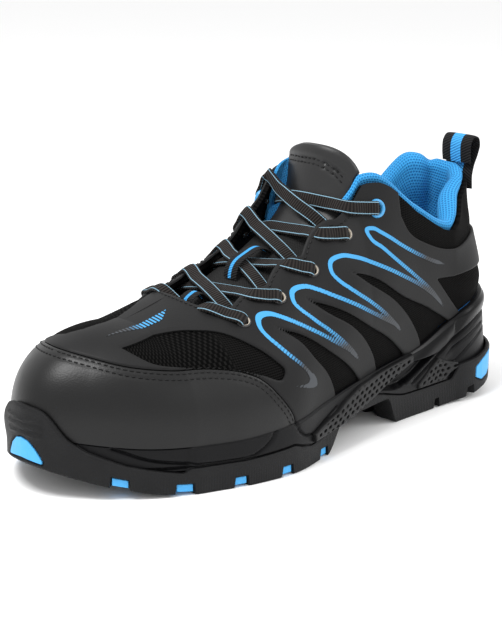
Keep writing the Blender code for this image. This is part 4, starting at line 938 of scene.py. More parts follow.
# Overlay: dark grey smooth synthetic, welded over the fabric as fingers, heel band and eyestays.
# The eyestays end in rounded tabs between the lace holes, and the edges are eased.
EYELETS = {"lat": (107, 129, 152.5, 175, 197.5), "med": (125, 140, 160, 181.5, 203)}
EYELET_BELOW_EDGE = {"lat": (13.0, 9.5, 9.5, 9.5, 9.5), "med": (9.5, 9.5, 9.5, 9.5, 9.5)}
HOLE_RADIUS = {"ring": 2.8, "rim": 2.3}
OVERLAY_TOP = 1.45
OVERLAY_BASE = 0.15
EDGE_ROUND = 0.8
TAB_REACH, TAB_HALF = 3.6, 11.0
SEAM_GAP = 0.4


def eyestay_tabs(x, side):
    """How far the eyestay's edge stands into the throat: a rounded tab between each two lower lace holes."""
    holes = np.array(EYELETS["lat" if side > 0 else "med"][1:], float)
    middles = (holes[:-1] + holes[1:]) / 2 + 1.5
    away = np.abs(x[:, None] - middles).min(1) / TAB_HALF
    return TAB_REACH * np.sqrt(ease(1 - away)) * (x > holes[0] - 1)


def open_end(u, side):
    """t at which one section meets the throat's edge, or 1 where it ends at the collar or ridge."""
    x = column("x", np.array([u]))[0]
    if not THROAT["top"] < x < THROAT["front"] or not STRAIGHT_ROWS[0] <= u <= STRAIGHT_ROWS[1]:
        return 1.0
    t = np.linspace(0, 1, 240)
    reach = side * skin(np.full(t.shape, u), side, t)[:, 1]
    if reach[-1] >= throat_half(x, side):
        return 1.0
    top = np.argmax(reach)
    return float(np.interp(-throat_half(x, side), -reach[top:], t[top:]))


def below_edge(u, side, distance):
    """t at a distance down the section from the collar's or throat's edge."""
    t = np.linspace(0, open_end(u, side), 240)
    run = lengths(skin(np.full(t.shape, u), side, t))
    return float(np.interp(run[-1] - distance, run, t))


def on_edge(side, x, down, lift):
    """Point over the upper, down from the throat's edge at x, with the outward direction there."""
    u = float(row_at(x))
    where = np.array([u]), np.array([float(side)]), np.array([below_edge(u, side, down)])
    out = skin_normal(*where)[0]
    return skin(*where)[0] + out * lift, out


eyelets = {(word, k): on_edge(1 if word == "lat" else -1, x, EYELET_BELOW_EDGE[word][k], 0.0)
           for word in EYELETS for k, x in enumerate(EYELETS[word])}
cap_line = np.concatenate([curve(TOE_CAP, 1.5), TOE_FRONT])
data, faces = skin_grid(pitch=1.15, steps=84)
skin_data, skin_faces = data, faces
fields = window_fields(data)
cap_field = inside_by(data[:, 0], data[:, 2], cap_line)
cover = [-f for f in fields.values()]
cover.append(-inside_by(data[:, 0], data[:, 1], throat_outline(eyestay_tabs)))
cover.append(-cap_field - SEAM_GAP)
for (word, k), (centre, axis) in eyelets.items():
    cover.append(np.linalg.norm(data[:, :3] - centre, axis=1) - HOLE_RADIUS["ring" if k == 0 else "rim"])
cover = np.min(cover, axis=0)
data = np.column_stack([data, cover])
data, faces, _ = split(data, faces, cover - EDGE_ROUND)
data, faces, cover = kept(*split(data, faces, data[:, 11]))
outer = OVERLAY_TOP - 0.5 * (1 - np.clip(cover / EDGE_ROUND, 0, 1)) ** 2
points, faces = shell(data, faces, outer, OVERLAY_BASE)

synthetic, shader, start = new_finish("overlay_synthetic", (0.008, 0.008, 0.008), 0.52, 0.17)
where = object_place(start)
pebble = start.node("ShaderNodeTexVoronoi", {}, {"Vector": where, "Scale": 1500.0}, "Distance")
emboss(pebble * 0.6 + noise(start, where, 2.2) * 0.5, 0.05, shader)
feed(noise(start, where, 20.0) * 0.14 + 0.46, shader["Roughness"])
shade = mixed(noise(start, where, 30.0), (0.0065, 0.0065, 0.0067), (0.0095, 0.0095, 0.0098))
feed(shade, shader["Base Color"])
add_piece("overlay_skin", points, faces, synthetic, "overlay_synthetic", ("overlay",))

# Printed outlines: blue rubber ink, screened on the overlay round the noses of its fingers and fading
# through fine slanted hatching to grey tails, and a striped dart on the vamp.
LOOPS = {                      # side view (x, z): tail of the upper arm, nose, tail of the lower arm
    "first":  (((56, 77.4), (67.5, 81.4), (75, 84.6), (84, 88.7), (93, 93.3), (101, 98), (107, 101.3),
                (111, 103.4)),
               (115.6, 103.2),
               ((113.8, 98.6), (107, 93.6), (100, 88.2), (93, 83.2), (87, 79.2), (81, 75.1), (75.5, 71.4),
                (67.3, 65.4), (60, 58.8), (54.5, 53.6))),
    "second": (((54.5, 53.6), (60, 58.8), (66, 63.2), (74, 68.1), (81, 71.9), (93, 77.6), (101, 81.3),
                (110.4, 85.3), (119, 88.8), (128.3, 91.9), (135.6, 93.2)),
               (142.6, 90.4),
               ((143.4, 86), (140.8, 82.4), (135.8, 78.6), (129, 74.2), (122, 70.1), (116, 66.4),
                (110.6, 62.8), (105, 58.8), (98, 53.2), (91.5, 47.6))),
    "third":  (((91.5, 47.6), (98, 53.2), (103.3, 55.9), (110, 59), (116, 62), (123.7, 65.7), (131, 69.3),
                (139.5, 73.2), (147, 76.5), (154, 79.6), (160, 81.4)),
               (168.4, 79),
               ((169.6, 75), (167.7, 72.2), (164, 69), (160.5, 66.1), (156.6, 63.4), (152.2, 60.3),
                (147.8, 57), (143.8, 54), (137.7, 49), (129.5, 41.2))),
    "fourth": (((129.5, 41.2), (137.7, 47.8), (144.5, 51.9), (150.4, 55.1), (155.5, 58), (160, 60.5),
                (165.7, 63.4), (171, 66.2), (176.4, 68.9), (180.5, 70.8), (184.1, 71.9)),
               (190.6, 70.2),
               ((192.4, 66.5), (191.4, 63.6), (189, 60.4), (186.6, 57.6), (183.4, 54.3), (179.7, 51.1),
                (175, 46.6), (171, 42.2))),
}
HOOK = ((175.5, 45.6), (170.6, 44.4), (168.2, 41.0), (167.6, 37.9), (171.5, 37.9), (176, 38.8), (187.4, 42.0),
        (176.5, 40.9), (173.6, 42.0))          # grey hook at the foot of the fourth line
DART = ((219.5, 4.0), (227.6, 9.7), (239, 9.3), (257.6, 4.8), (238, 5.0))       # plan (x, y)
LINE_HALF = 0.97
INK_LIFT = 0.13
DART_PITCH = 2.0               # between the dart's stripes
fade = np.zeros(len(skin_data))
ink = np.full(len(skin_data), -FAR_OUT)
for upper_arm, nose, lower_arm in LOOPS.values():
    line = curve(upper_arm + (nose,) + lower_arm, 1.0)
    far, run_at = nearest(skin_data[:, 0], skin_data[:, 2], line)
    total = lengths(line)[-1]
    nose_at = lengths(line)[np.argmin(np.linalg.norm(line - nose, axis=1))]
    arm = np.where(run_at < nose_at, nose_at, total - nose_at)
    faded = np.abs(run_at - nose_at) / arm
    field = LINE_HALF * (1 - 0.8 * ease(faded * 10 - 9)) - far
    fade = np.where(field > ink, faded, fade)
    ink = np.maximum(ink, field)
hook = np.where(skin_data[:, 1] > 0, inside_by(skin_data[:, 0], skin_data[:, 2], HOOK), -FAR_OUT)
fade = np.where(hook > ink, 0.97, fade)
ink = np.maximum(ink, hook)
dart = np.where(skin_data[:, 2] > 60, inside_by(skin_data[:, 0], skin_data[:, 1], DART), -FAR_OUT)
fade = np.where(dart > ink, 0.20 + 0.72 * ease((skin_data[:, 0] - 222) / 34), fade)
striped = (dart > ink).astype(float)
ink = np.maximum(ink, dart)
whole_cover = np.min([-f for f in window_fields(skin_data).values()], axis=0)
ink = np.minimum(ink, whole_cover - EDGE_ROUND)
data, faces, ink = kept(*split(np.column_stack([skin_data, fade, striped]), skin_faces, ink))
points, faces = shell(data, faces, OVERLAY_TOP + INK_LIFT, OVERLAY_TOP - 0.3)
print_ink, shader, start = new_finish("printed_ink", BLUE, 0.5, 0.2)
fade_value = mark(start, "fade")
run = start.node("ShaderNodeSeparateXYZ", {}, {0: object_place(start)})
height = Socket(run.tree, run.socket.node.outputs["Z"])
lines = ((run * 0.75 + height * 1.2) * 2800.0).maths("SINE") * 0.5 + 0.5
clouded = clamped(fade_value * 4.0 - 2.0)
hatched = clamped(fade_value * 3.0 - 0.6)
solid = clamped(fade_value * 8.0 - 6.2)
gaps = clamped((lines - 0.55) * 4.0) * hatched * (1 - solid)
in_dart = mark(start, "striped")
stripes = clamped(((run * (2 * np.pi / (DART_PITCH * MM))).maths("SINE") + 0.1) * 4.0)
inked = mixed(clouded, BLUE, (0.050, 0.055, 0.062))
gaps = clamped(gaps * (1 - in_dart) * 0.85 + stripes * in_dart)
feed(mixed(gaps, inked, (0.008, 0.008, 0.008)), shader["Base Color"])
add_piece("printed_outlines", points, faces, print_ink, "overlay_synthetic", (), None,
          {"fade": np.tile(data[:, 11], 2), "striped": np.tile(data[:, 12], 2)})

# Toe cap: satin black leather over the toe, lasted down to the sole and sewn to the overlay with a
# double seam that draws the leather in a little.
CAP_SEAMS = (1.2, 3.4)         # distances of the two rows of stitches from the cap's edge
SEAM_DRAW = 0.28
data = np.column_stack([skin_data, cap_field])
data, faces, _ = split(data, skin_faces, cap_field - EDGE_ROUND)
data, faces, inset = kept(*split(data, faces, data[:, 11]))
outer = OVERLAY_TOP + 0.15 - 0.6 * (1 - np.clip(inset / EDGE_ROUND, 0, 1)) ** 2
for row in CAP_SEAMS:
    outer = outer - SEAM_DRAW * np.exp(-((inset - row) / 0.7) ** 2)
points, faces = shell(data, faces, outer, OVERLAY_BASE)
leather, shader, start = new_finish("toe_leather", (0.004, 0.004, 0.0042), 0.38, 0.30)
where = object_place(start)
grain = start.node("ShaderNodeTexVoronoi", {}, {"Vector": where, "Scale": 1250.0}, "Distance")
emboss(grain * 0.7 + noise(start, where, 4.0) * 0.4, 0.045, shader)
feed(noise(start, where, 12.0) * 0.12 + 0.33, shader["Roughness"])
feed(mixed(noise(start, where, 25.0), (0.003, 0.003, 0.0031), (0.005, 0.005, 0.0052)), shader["Base Color"])
add_piece("toe_leather", points, faces, leather, "toe_leather", ("toe_cap",))

# Stitches: waxed black thread, lock-stitched. Two rows follow the toe cap's edge and one row the
# eyestays' edge round the throat.
STITCH_PITCH, STITCH_LENGTH, STITCH_RADIUS, STITCH_BOW = 3.0, 2.3, 0.34, 0.22
EYESTAY_SEAM, EYESTAY_SEAM_FROM = 2.0, 114.0   # distance from the edge, and x where the row starts


def over_plan(x, y):
    """Row, side and t of the upper's face over points of the plan, on the straight part of the shoe."""
    u = row_at(x)
    away = y - column("y", u)
    side = np.where(away > 0, 1.0, -1.0)
    t = np.linspace(0.35, 1, 200)
    r = section(u[:, None], side[:, None], t[None, :] + 0 * u[:, None])[0]
    return u, side, 0.35 + 0.65 * crossing(-r, -np.abs(away))


def sampled(values, run, where):
    """Rows of three values, given at the distances run, at the distances where."""
    return np.stack([np.interp(where, run, values[:, k]) for k in range(3)], 1)


def stitch_row(line, up):
    """Points and faces of stitches along a line: short bowed capsules of eight sides, laid end to end."""
    run = lengths(line)
    middle = np.arange(STITCH_PITCH / 2, run[-1] - STITCH_PITCH / 2, STITCH_PITCH)
    ahead = sampled(line, run, middle + STITCH_LENGTH / 2) - sampled(line, run, middle - STITCH_LENGTH / 2)
    ahead /= np.linalg.norm(ahead, axis=1, keepdims=True)
    lift = sampled(up, run, middle)
    across = np.cross(lift, ahead)
    across /= np.linalg.norm(across, axis=1, keepdims=True)
    lift = np.cross(ahead, across)
    s = np.linspace(-1, 1, 7)[:, None]
    angle = np.linspace(0, 2 * np.pi, 9)[None, :]
    radius = STITCH_RADIUS * np.sqrt(np.clip(1 - s ** 6, 0, 1))
    height = radius * np.sin(angle) + STITCH_BOW * (1 - s ** 2) - 0.05
    shape = np.broadcast_arrays(s * STITCH_LENGTH / 2, radius * np.cos(angle), height)
    shape = np.stack(shape, -1).reshape(-1, 3)
    axes = np.stack([ahead, across, lift], 1)
    points = sampled(line, run, middle)[:, None] + np.einsum("kj,njc->nkc", shape, axes)
    faces = grid(7, 9)[None] + (np.arange(len(middle)) * len(shape))[:, None, None]
    return points.reshape(-1, 3), faces.reshape(-1, 4)


def joined(parts):
    """One run of points and faces from several."""
    starts = np.cumsum([0] + [len(points) for points, _ in parts[:-1]])
    return (np.concatenate([points for points, _ in parts]),
            np.concatenate([faces + first for (_, faces), first in zip(parts, starts)]))


rows = []
u, side = around(rows_every(1.5, 7.05))
t = np.linspace(0, 1, 160)[None, :] + 0 * u[:, None]
section_points = skin(u[:, None], side[:, None], t)
inset = inside_by(section_points[..., 0], section_points[..., 2], cap_line)
for distance in CAP_SEAMS:
    at = crossing(-inset, np.full(len(u), -distance))
    out = skin_normal(u, side, at)
    row = skin(u, side, at) + out * (OVERLAY_TOP - 0.1)
    for part in (side > 0, (side < 0) | (u == LAST_ROW)):
        rows.append(stitch_row(row[part], out[part]))
outline = throat_outline(eyestay_tabs)
run = np.gradient(outline, axis=0)
outwards = np.stack([-run[:, 1], run[:, 0]], 1) / np.linalg.norm(run, axis=1)[:, None]
seam = (outline + outwards * EYESTAY_SEAM)[outline[:, 0] > EYESTAY_SEAM_FROM]
where = over_plan(*seam.T)
out = skin_normal(*where)
rows.append(stitch_row(skin(*where) + out * OVERLAY_TOP, out))
thread, shader, start = new_finish("waxed_thread", (0.006, 0.006, 0.0062), 0.5, 0.2)
where = object_place(start)
emboss(noise(start, where, 0.3), 0.05, shader)
add_piece("stitches", *joined(rows), thread, "overlay_synthetic")

# Collar lining: blue spacer mesh over foam, a roll along the collar's edge and pads at the ankle and
# heel, sewn in along the collar. A crease parts the heel pad from the ankle pads.
LINING_END, LINING_THIN = 4.8, 4.2             # rows where it ends beside the tongue and where it has thinned
LINING_CLEAR = 0.8
LINING_PAD = (1.2, 3.8, 3.5)                   # least thickness, more along the collar, more at the heel
CREASE_ROW, CREASE_DEPTH = 0.55, 3.0
MEDIAL_RISE = 3.0              # of the roll above the inner ankle
LINING_PITCH, LINING_POINTS = 1.4, 73          # of the mesh: along, and round one profile
DOT_PITCH = 1.7                # of the mesh's holes


def inside_upper(row, way, distance, depth):
    """Point at a distance down the upper from its edge, and at a depth in from its outer face."""
    where = np.array([row]), np.array([way]), np.array([below_edge(row, way, distance)])
    return skin(*where)[0] - skin_normal(*where)[0] * depth


def lining_profile(row, way):
    """Closed profile of the lining in one section: back against the upper, roll over its edge, pad."""
    least, more, heel = LINING_PAD
    pad = least + more * ease((LINING_THIN - row) / 1.5) + heel * np.exp(-((row - 1.2) / 0.7) ** 2)
    crease = CREASE_DEPTH * np.exp(-((row - CREASE_ROW) / 0.12) ** 2)
    bulge = 1 + (way < 0) * (MEDIAL_RISE * np.exp(-((row - 1.2) / 0.35) ** 2) - 0.8 * crease) / 5.4
    under = WALL + LINING_CLEAR
    where = np.array([row]), np.array([way]), np.array([open_end(row, way)])
    edge = skin(*where)[0]
    out = skin_normal(*where)[0]
    rise = edge - inside_upper(row, way, 1.5, 0.0)
    rise = rise / np.linalg.norm(rise)
    roll = ((0.0, under), (2.4 * bulge, 1.5), (4.6 * bulge, 2.2), (5.4 * bulge, 3.0 + 0.4 * pad),
            (3.6 * bulge, 2.4 + pad - 0.3 * crease), (-4.0, under + 1.1 * pad - 0.8 * crease))
    points = [inside_upper(row, way, distance, under) for distance in (34.0, 18.0, 6.0)]
    points += [edge + rise * up - out * depth for up, depth in roll]
    points.append(inside_upper(row, way, 18.0, under + pad - crease))
    points.append(inside_upper(row, way, 33.0, under + 0.5 * pad - 0.5 * crease))
    profile = curve(np.array(points + points[:1]), 1.0)
    run = lengths(profile)
    return sampled(profile, run, np.linspace(0, run[-1], LINING_POINTS))


u, side = around(rows_every(LINING_PITCH, 0.0, LINING_END))
profiles = np.stack([lining_profile(row, way) for row, way in zip(u, side)])
n, m = profiles.shape[:2]
along = lengths(profiles[:, m // 2 - 2])
uv = np.stack(np.broadcast_arrays(along[:, None], lengths(profiles[n // 3])[None, :]), -1)
spacer, shader, start = new_finish("spacer_mesh", (0.05, 0.32, 0.66), 0.75, 0.15)
run, rise = surface_place(start)
row_number = (rise * (1 / DOT_PITCH)).maths("FLOOR")
cell_x = (run * (1 / DOT_PITCH) + row_number * 0.5).maths("FRACT") - 0.5
cell_y = (rise * (1 / DOT_PITCH)).maths("FRACT") - 0.5
dots = clamped((0.42 - (cell_x * cell_x + cell_y * cell_y).maths("SQRT")) * 5.0)
emboss(1 - dots, 0.35, shader)
feed(mixed(dots, (0.036, 0.300, 0.640), (0.010, 0.150, 0.400)), shader["Base Color"])
shader["Sheen Weight"].default_value = 0.05
lining = add_piece("collar_pad", profiles, loft_faces(n, m), spacer, "lining_mesh", ("collar_lining",), uv)

# Tongue: foam under smooth coated leather at the top and black mesh below, crowned across and rounded
# at its edge. A double seam crosses it below the lip. It is sewn in under the vamp.
TONGUE_Y = -0.8
TONGUE = {                     # root to lip: centre line (x, z), half width, fall of its sides, thickness
    "root":   (214, 62.0, 17, 3.0, 3.0),
    "vamp":   (198, 71.0, 21, 3.0, 4.0),
    "mid":    (175, 81.0, 22, 3.5, 4.5),
    "upper":  (150, 92.0, 23, 4.0, 5.0),
    "collar": (128, 111.5, 22, 7.0, 5.0),
    "lip":    (119, 143.0, 24.5, 14.0, 4.5),
}
TONGUE_TABLE = np.array(list(TONGUE.values()), float)
TONGUE_CLEAR = 5.0             # kept under the upper, measured upright
TONGUE_SEAMS = (4.69, 4.76)    # rows of the double seam at the middle
SEAM_FALL = (0.36, 2.3)        # how far it falls to the lateral side, and the power of the share across
LIP_DROP = ((0.32, 3.6), (0.23, 3.0))          # rows that the lateral and medial corners lie lower, and power
MEDIAL_FLAT = 0.5              # share of the fall that the medial side loses towards the lip
LEATHER_FROM = 3.6             # row above which it is leather


def tongue_value(k, v):
    """A column of the tongue's table at row v: a cubic through the rows."""
    values = TONGUE_TABLE[:, k]
    return cubic(values, np.gradient(values), v)


def on_tongue(v, b, lift):
    """Point over the tongue and its direction: v is the row, root 0 to lip 5, b across and lift in mm."""
    e = 0.02
    slope = np.stack([tongue_value(k, v + e) - tongue_value(k, v - e) for k in (0, 1)], -1)
    slope /= np.linalg.norm(slope, axis=-1, keepdims=True)
    half = tongue_value(2, v)
    fall = tongue_value(3, v) * np.where(b < 0, 1 - MEDIAL_FLAT * ease(v - 4), 1)
    up = np.stack([slope[..., 1], 0 * v, -slope[..., 0]], -1)
    point = np.stack([tongue_value(0, v), TONGUE_Y + b, tongue_value(1, v)], -1)
    point = point - up * (fall * (b / half) ** 2)[..., None]
    tilt = np.arctan(2 * fall * b / half ** 2)
    face = up * np.cos(tilt)[..., None] + np.stack([0 * v, np.sin(tilt), 0 * v], -1)
    return point + face * np.asarray(lift)[..., None], face


v, share = np.meshgrid(np.linspace(0, 1, 150), np.linspace(-1, 1, 61), indexing="ij")
(lateral, power), (medial, medial_power) = LIP_DROP
lip = 5 - np.where(share > 0, lateral * np.abs(share) ** power, medial * np.abs(share) ** medial_power)
v = v * lip
half = tongue_value(2, v)
outer, face = on_tongue(v, share * half, 0 * v)
x, y = outer[..., 0].ravel(), outer[..., 1].ravel()
u, side, t = over_plan(np.clip(x, 107, 236), y)
inside_edge = np.abs(y) - np.where(y > 0, throat_half(x, 1), throat_half(x, -1)) + 6.0
covered = ease(np.where(x > THROAT["front"] - 3, 1, inside_edge / 3))
ceiling = section(u, side, t)[1] - TONGUE_CLEAR + 40 * (1 - covered)
ceiling = np.where(x > THROAT["top"] + 6, ceiling, FAR_OUT).reshape(v.shape)
outer[..., 2] = np.minimum(outer[..., 2], ceiling)
rim = np.minimum((1 - np.abs(share)) * half, (lip - v) * 30)
rounded = np.sqrt(np.clip(1 - (1 - np.clip(rim / 2.4, 0, 1)) ** 2, 0, 1))
thick = tongue_value(4, v) * (0.35 + 0.65 * rounded)
level_row = v + SEAM_FALL[0] * np.clip(share, 0, 1) ** SEAM_FALL[1]
swell = 0.9 * ease((level_row - TONGUE_SEAMS[1]) / 0.1) * rounded
for row in TONGUE_SEAMS:
    swell = swell - 0.5 * np.exp(-((level_row - row) / 0.018) ** 2) * rounded
swell = swell - 1.6 * (1 - rounded)
front = outer + face * swell[..., None]
rear = outer - face * thick[..., None]
points = np.concatenate([front, rear[:, ::-1], front[:, :1]], 1)
uv = np.stack([share * half, v * 28], -1)
uv = np.concatenate([uv, uv[:, ::-1], uv[:, :1]], 1)
top = ease((v - LEATHER_FROM) / 0.02)
marks = np.concatenate([top, 0 * top, top[:, :1]], 1)
coated, shader, start = new_finish("tongue_leather", (0.010, 0.010, 0.0103), 0.4, 0.35)
run, rise = surface_place(start)
where = object_place(start)
smooth = mark(start, "coated")
knit = ((run * 4.0).maths("SINE") * (rise * 4.0).maths("SINE")) * 0.5 + 0.5
emboss(noise(start, where, 1.2) * 0.25 * smooth + knit * (1 - smooth), 0.22, shader)
knitted = mixed(knit, (0.001, 0.001, 0.001), (0.008, 0.008, 0.008))
feed(mixed(smooth, knitted, (0.012, 0.012, 0.0124)), shader["Base Color"])
feed(0.85 - smooth * 0.45, shader["Roughness"])
tongue = add_piece("tongue_pad", points, loft_faces(*points.shape[:2]), coated, "tongue_leather", ("tongue",),
                   uv, {"coated": marks})
b = np.linspace(-0.86, 0.86, 80)
rows = []
for row in TONGUE_SEAMS:
    at = row - SEAM_FALL[0] * np.clip(b, 0, 1) ** SEAM_FALL[1]
    line, up = on_tongue(at, b * tongue_value(2, at), -0.35 + 0 * b)
    rows.append(stitch_row(line, up))
add_piece("tongue_stitches", *joined(rows), thread, "tongue_leather")

# Eyelets: painted blue rings for the top pair, and for the others thin rims, beige inside and dark
# outside. All are pressed into holes punched in the eyestays.
RINGS = {"ring": (2.8, 4.8, 1.6), "rim": (2.3, 3.6, 0.8)}      # bore radius, radius, height
painted, shader, start = new_finish("painted_ring", BLUE, 0.35)
where = object_place(start)
feed(noise(start, where, 1.5) * 0.15 + 0.28, shader["Roughness"])
pressed, shader, start = new_finish("pressed_rim", (0.03, 0.03, 0.03), 0.5)
lip = mark(start, "lip")
feed(mixed(lip, (0.028, 0.028, 0.029), (0.42, 0.37, 0.30)), shader["Base Color"])
for (word, k), (centre, axis) in eyelets.items():
    kind = "ring" if k == 0 else "rim"
    bore, radius, height = RINGS[kind]
    s = np.linspace(0, np.pi, 11)
    bow = (bore + radius) / 2 - (radius - bore) / 2 * np.cos(s)
    arc = np.stack([bow, OVERLAY_TOP + height * np.sin(s)], 1)
    profile = np.concatenate([[(bore, 0.0)], arc, [(radius, 0.0), (bore, 0.0)]])
    a = np.cross(axis, (1.0, 0.0, 0.0))
    a = a / np.linalg.norm(a)
    angle = np.linspace(0, 2 * np.pi, 41)
    radial = np.cos(angle)[:, None] * a + np.sin(angle)[:, None] * np.cross(axis, a)
    points = centre + radial[:, None] * profile[None, :, :1] + axis * profile[None, :, 1:]
    marks = np.broadcast_to((profile[:, 0] < bore + 0.45 * (radius - bore))[None, :], points.shape[:2])
    finish = painted if kind == "ring" else pressed
    add_piece(f"eyelet_{kind}_{word}_{k + 1}", points, grid(*points.shape[:2]), finish, f"eyelet_{kind}",
              (f"eyelet_{word}_{k + 1}",), None, {"lip": marks})

# Laces: flat woven cord, black-brown with a fine pale blue line along each edge. Each comes up out of
# its own hole, crosses the tongue, the medial one on top, and goes under the far eyestay.
LACE_WIDTH, LACE_THICK = 7.2, 2.1
# x where each lace crosses its own eyestay's edge, and the far one's
LACE_EDGES = {"lat": (122, 140, 161, 184, 206), "med": (123, 139, 156, 180, 205)}
LACE_FAR = {"lat": (128, 139.5, 163, 186), "med": (138, 158, 178, 199)}
LACE_LIFTS = {"lat": 1.5, "med": 3.9}          # over the tongue's middle
LACE_UNDER = 3.5               # how far a lace goes on under the far eyestay
LACE_NECK = 0.66               # share of its width in the hole
LACE_LINE_AT, LACE_LINE_HALF = 2.85, 0.24      # pale line: distance from the middle, half width
RIB_PITCH = 1.45


def tongue_row(point):
    """Row of the tongue whose centre lies nearest to a point in side view."""
    v = np.linspace(0, 5, 400)
    centre = on_tongue(v, 0 * v, 0 * v)[0]
    return v[np.argmin(np.hypot(centre[:, 0] - point[0], centre[:, 2] - point[2]))]


def strap(line, face, width, thick, sides=24):
    """Profiles of a flat band with round edges along a line, broad side towards face, and its UV in mm."""
    run = np.gradient(line, axis=0)
    across = np.cross(face, run)
    across /= np.linalg.norm(across, axis=1, keepdims=True)
    face = np.cross(run, across)
    face /= np.linalg.norm(face, axis=1, keepdims=True)
    angle = np.linspace(0, 2 * np.pi, sides + 1)
    a = np.sign(np.cos(angle)) * np.abs(np.cos(angle)) ** 0.55 / 2
    h = np.sign(np.sin(angle)) * np.abs(np.sin(angle)) ** 0.75 / 2
    width = np.broadcast_to(width, len(line))[:, None, None]
    aside = across[:, None] * a[None, :, None] * width
    points = line[:, None] + aside + face[:, None] * h[None, :, None] * thick
    uv = np.stack(np.broadcast_arrays(a[None, :] * np.max(width), lengths(line)[:, None]), -1)
    return points, uv


def lace_root(word, k):
    """Lace from inside its hole to the eyestay's edge: points and facing directions."""
    way = 1 if word == "lat" else -1
    centre, axis = eyelets[word, k]
    over = OVERLAY_TOP + LACE_THICK / 2 + 0.2
    edge, edge_face = on_edge(way, LACE_EDGES[word][k], 1.0, over)
    ahead = edge - centre
    ahead = ahead - axis * np.dot(ahead, axis)
    ahead /= np.linalg.norm(ahead)
    line = [centre - axis * 3.5 - ahead * 0.8, centre - axis * 0.3 - ahead * 0.8,
            centre + axis * (over + 0.3) + ahead * 1.2, (centre + axis * over + edge) / 2, edge]
    return line, [-ahead, -ahead, axis - 0.5 * ahead, axis, edge_face]


def lace_line(word, k, lift):
    """Lace from its hole over the eyestay's edge, across the tongue and a little way under the far side."""
    way = 1 if word == "lat" else -1
    line, faces = lace_root(word, k)
    row = tongue_row(line[-1])
    far = on_edge(-way, LACE_FAR[word][k], 0.5, lift)[0]
    half = abs(line[-1][1] - TONGUE_Y)
    reach = abs(far[1] - TONGUE_Y) + LACE_UNDER
    b = way * np.array((0.5 * half, 0.0, -0.4 * reach, -0.75 * reach, -reach))
    v = row + (half - way * b) / (half + reach) * (tongue_row(far) - row)
    heights = np.array((lift, lift, (lift + 1.5) / 2, 1.5, 1.2))
    across, face = on_tongue(v, b, heights)
    straight = line[-1] + (across[1] - line[-1]) * 0.5
    clear = np.dot(straight - across[0], face[0])
    across[0] = straight if clear > 0 else across[0]
    return np.concatenate([line, across]), np.concatenate([faces, face])


def smooth_lace(line, face):
    """Lace's points and facing directions on smooth curves, and the length run at each point."""
    both = curve(np.concatenate([line, face * 4.0], 1), 0.8)
    face = both[:, 3:] / np.linalg.norm(both[:, 3:], axis=1, keepdims=True)
    return both[:, :3], face, lengths(both[:, :3])


def lace_width(run):
    """Width of the lace at distances from its hole, where it is gathered."""
    return LACE_WIDTH * (LACE_NECK + (1 - LACE_NECK) * ease((run - 2.0) / 4.0))


cord, shader, start = new_finish("lace_cord", (0.008, 0.0065, 0.006), 0.75, 0.1)
run, rise = surface_place(start)
ribs = (rise * (2 * np.pi / RIB_PITCH)).maths("SINE") * 0.5 + 0.5
from_line = (run.maths("ABSOLUTE") - LACE_LINE_AT).maths("ABSOLUTE")
edge_line = clamped((LACE_LINE_HALF - from_line) * 9.0)
emboss(ribs, 0.45, shader)
dark = mixed(ribs, (0.004, 0.003, 0.003), (0.022, 0.018, 0.016))
feed(mixed(edge_line * 0.75, dark, (0.30, 0.53, 0.68)), shader["Base Color"])
shader["Sheen Weight"].default_value = 0.05
for k in range(4):
    for word in EYELETS:
        line, face, run = smooth_lace(*lace_line(word, k, LACE_LIFTS[word]))
        points, uv = strap(line, face, lace_width(run), LACE_THICK)
        add_piece(f"lace_{k + 1}_{word}", points, loft_faces(*points.shape[:2]), cord, "lace_cord",
                  (f"lace_{k + 1}",), uv)
halves = []
for word in EYELETS:
    line, faces = lace_root(word, 4)
    middle, face = on_tongue(np.array([tongue_row(line[-1])]), np.array([0.0]), np.array([2.0]))
    halves.append((np.concatenate([line, middle]), np.concatenate([faces, face])))
line, face, run = smooth_lace(*[np.concatenate([a, b[-2::-1]]) for a, b in zip(*halves)])
points, uv = strap(line, face, lace_width(np.minimum(run, run[-1] - run)), LACE_THICK)
add_piece("lace_bar", points, loft_faces(*points.shape[:2]), cord, "lace_cord", ("lace_5",), uv)

# Keepers: black webbing loops with a blue middle stripe, sewn to the tongue at both ends. The laces
# run under them.
KEEPERS = {"keeper_upper": (2.48, 12.5, 7.4), "keeper_lower": (1.0, 7.0, 7.0)}     # row, half length, height
KEEPER_FOOT, KEEPER_WIDTH, KEEPER_THICK, KEEPER_STRIPE = 0.9, 9.0, 1.1, 1.1
TONGUE_ROW_LENGTH = 26.0       # about what one row of the tongue measures


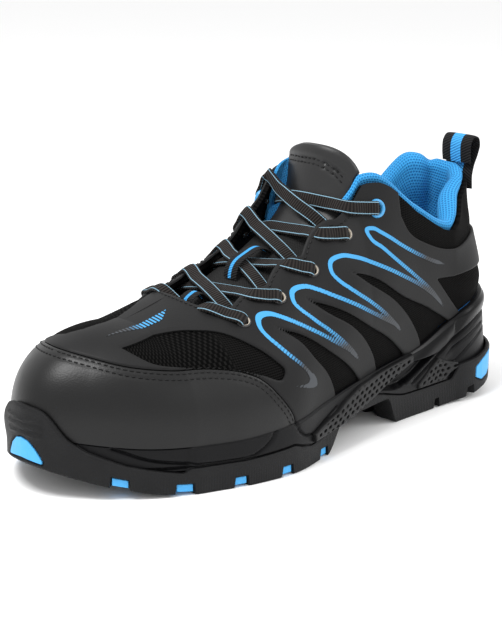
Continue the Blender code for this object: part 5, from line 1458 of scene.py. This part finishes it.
def webbing(name, stripe_half, twill):
    """Webbing finish: black with a blue stripe along its middle and slanted ribs twill mm apart."""
    finish, shader, start = new_finish(name, (0.010, 0.010, 0.011), 0.8, 0.15)
    run, rise = surface_place(start)
    ribs = ((rise + run * 0.5) * (2 * np.pi / twill)).maths("SINE") * 0.5 + 0.5
    stripe = clamped((stripe_half - run.maths("ABSOLUTE")) * 6.0)
    emboss(ribs, 0.3, shader)
    dark = mixed(ribs, (0.004, 0.004, 0.004), (0.018, 0.018, 0.019))
    blue = mixed(ribs, (0.030, 0.220, 0.520), (0.070, 0.400, 0.800))
    feed(mixed(stripe, dark, blue), shader["Base Color"])
    return finish


keeper_web = webbing("keeper_webbing", KEEPER_STRIPE, 1.3)
for name, (row, reach, height) in KEEPERS.items():
    share = np.linspace(-1, 1, 60)
    lift = KEEPER_FOOT + (height - KEEPER_FOOT) * (1 - share ** 4)
    line, face = on_tongue(row + share * reach / TONGUE_ROW_LENGTH, 0 * share, lift)
    points, uv = strap(line, face, KEEPER_WIDTH, KEEPER_THICK, 32)
    add_piece(f"{name}_web", points, loft_faces(*points.shape[:2]), keeper_web, "keeper_webbing", (name,), uv)

# Pull loop: webbing 20 mm wide, black with a broad blue middle, sewn down the heel outside and
# folded into a loop above the collar.
LOOP_WIDTH, LOOP_THICK, LOOP_STRIPE = 20.0, 1.6, 3.6
LOOP_SEWN = (9.0, 6.0, 2.5)    # distances below the collar's edge
LOOP_LINE = ((4.4, 121.0), (1.6, 127.0), (0.2, 132.0), (1.5, 135.8), (5.0, 136.5), (7.6, 133.6),
             (8.1, 128.0), (7.3, 122.4))       # side view (x, z)
legs = [below_edge(0.0, 1, distance) for distance in LOOP_SEWN]
where = np.zeros(len(legs)), np.ones(len(legs)), np.array(legs)
leg = (skin(*where) + skin_normal(*where) * (GAP + LOOP_THICK / 2))[:, [0, 2]]
line = curve(np.concatenate([leg, LOOP_LINE]), 0.7)
run = np.gradient(line, axis=0)
face = np.stack([-run[:, 1], 0 * run[:, 0], run[:, 0]], 1)
face /= np.linalg.norm(face, axis=1, keepdims=True)
points, uv = strap(np.insert(line, 1, 0.0, axis=1), face, LOOP_WIDTH, LOOP_THICK, 40)
loop_web = webbing("loop_webbing", LOOP_STRIPE, 1.5)
add_piece("pull_loop_web", points, loft_faces(*points.shape[:2]), loop_web, "loop_webbing", ("pull_loop",),
          uv)
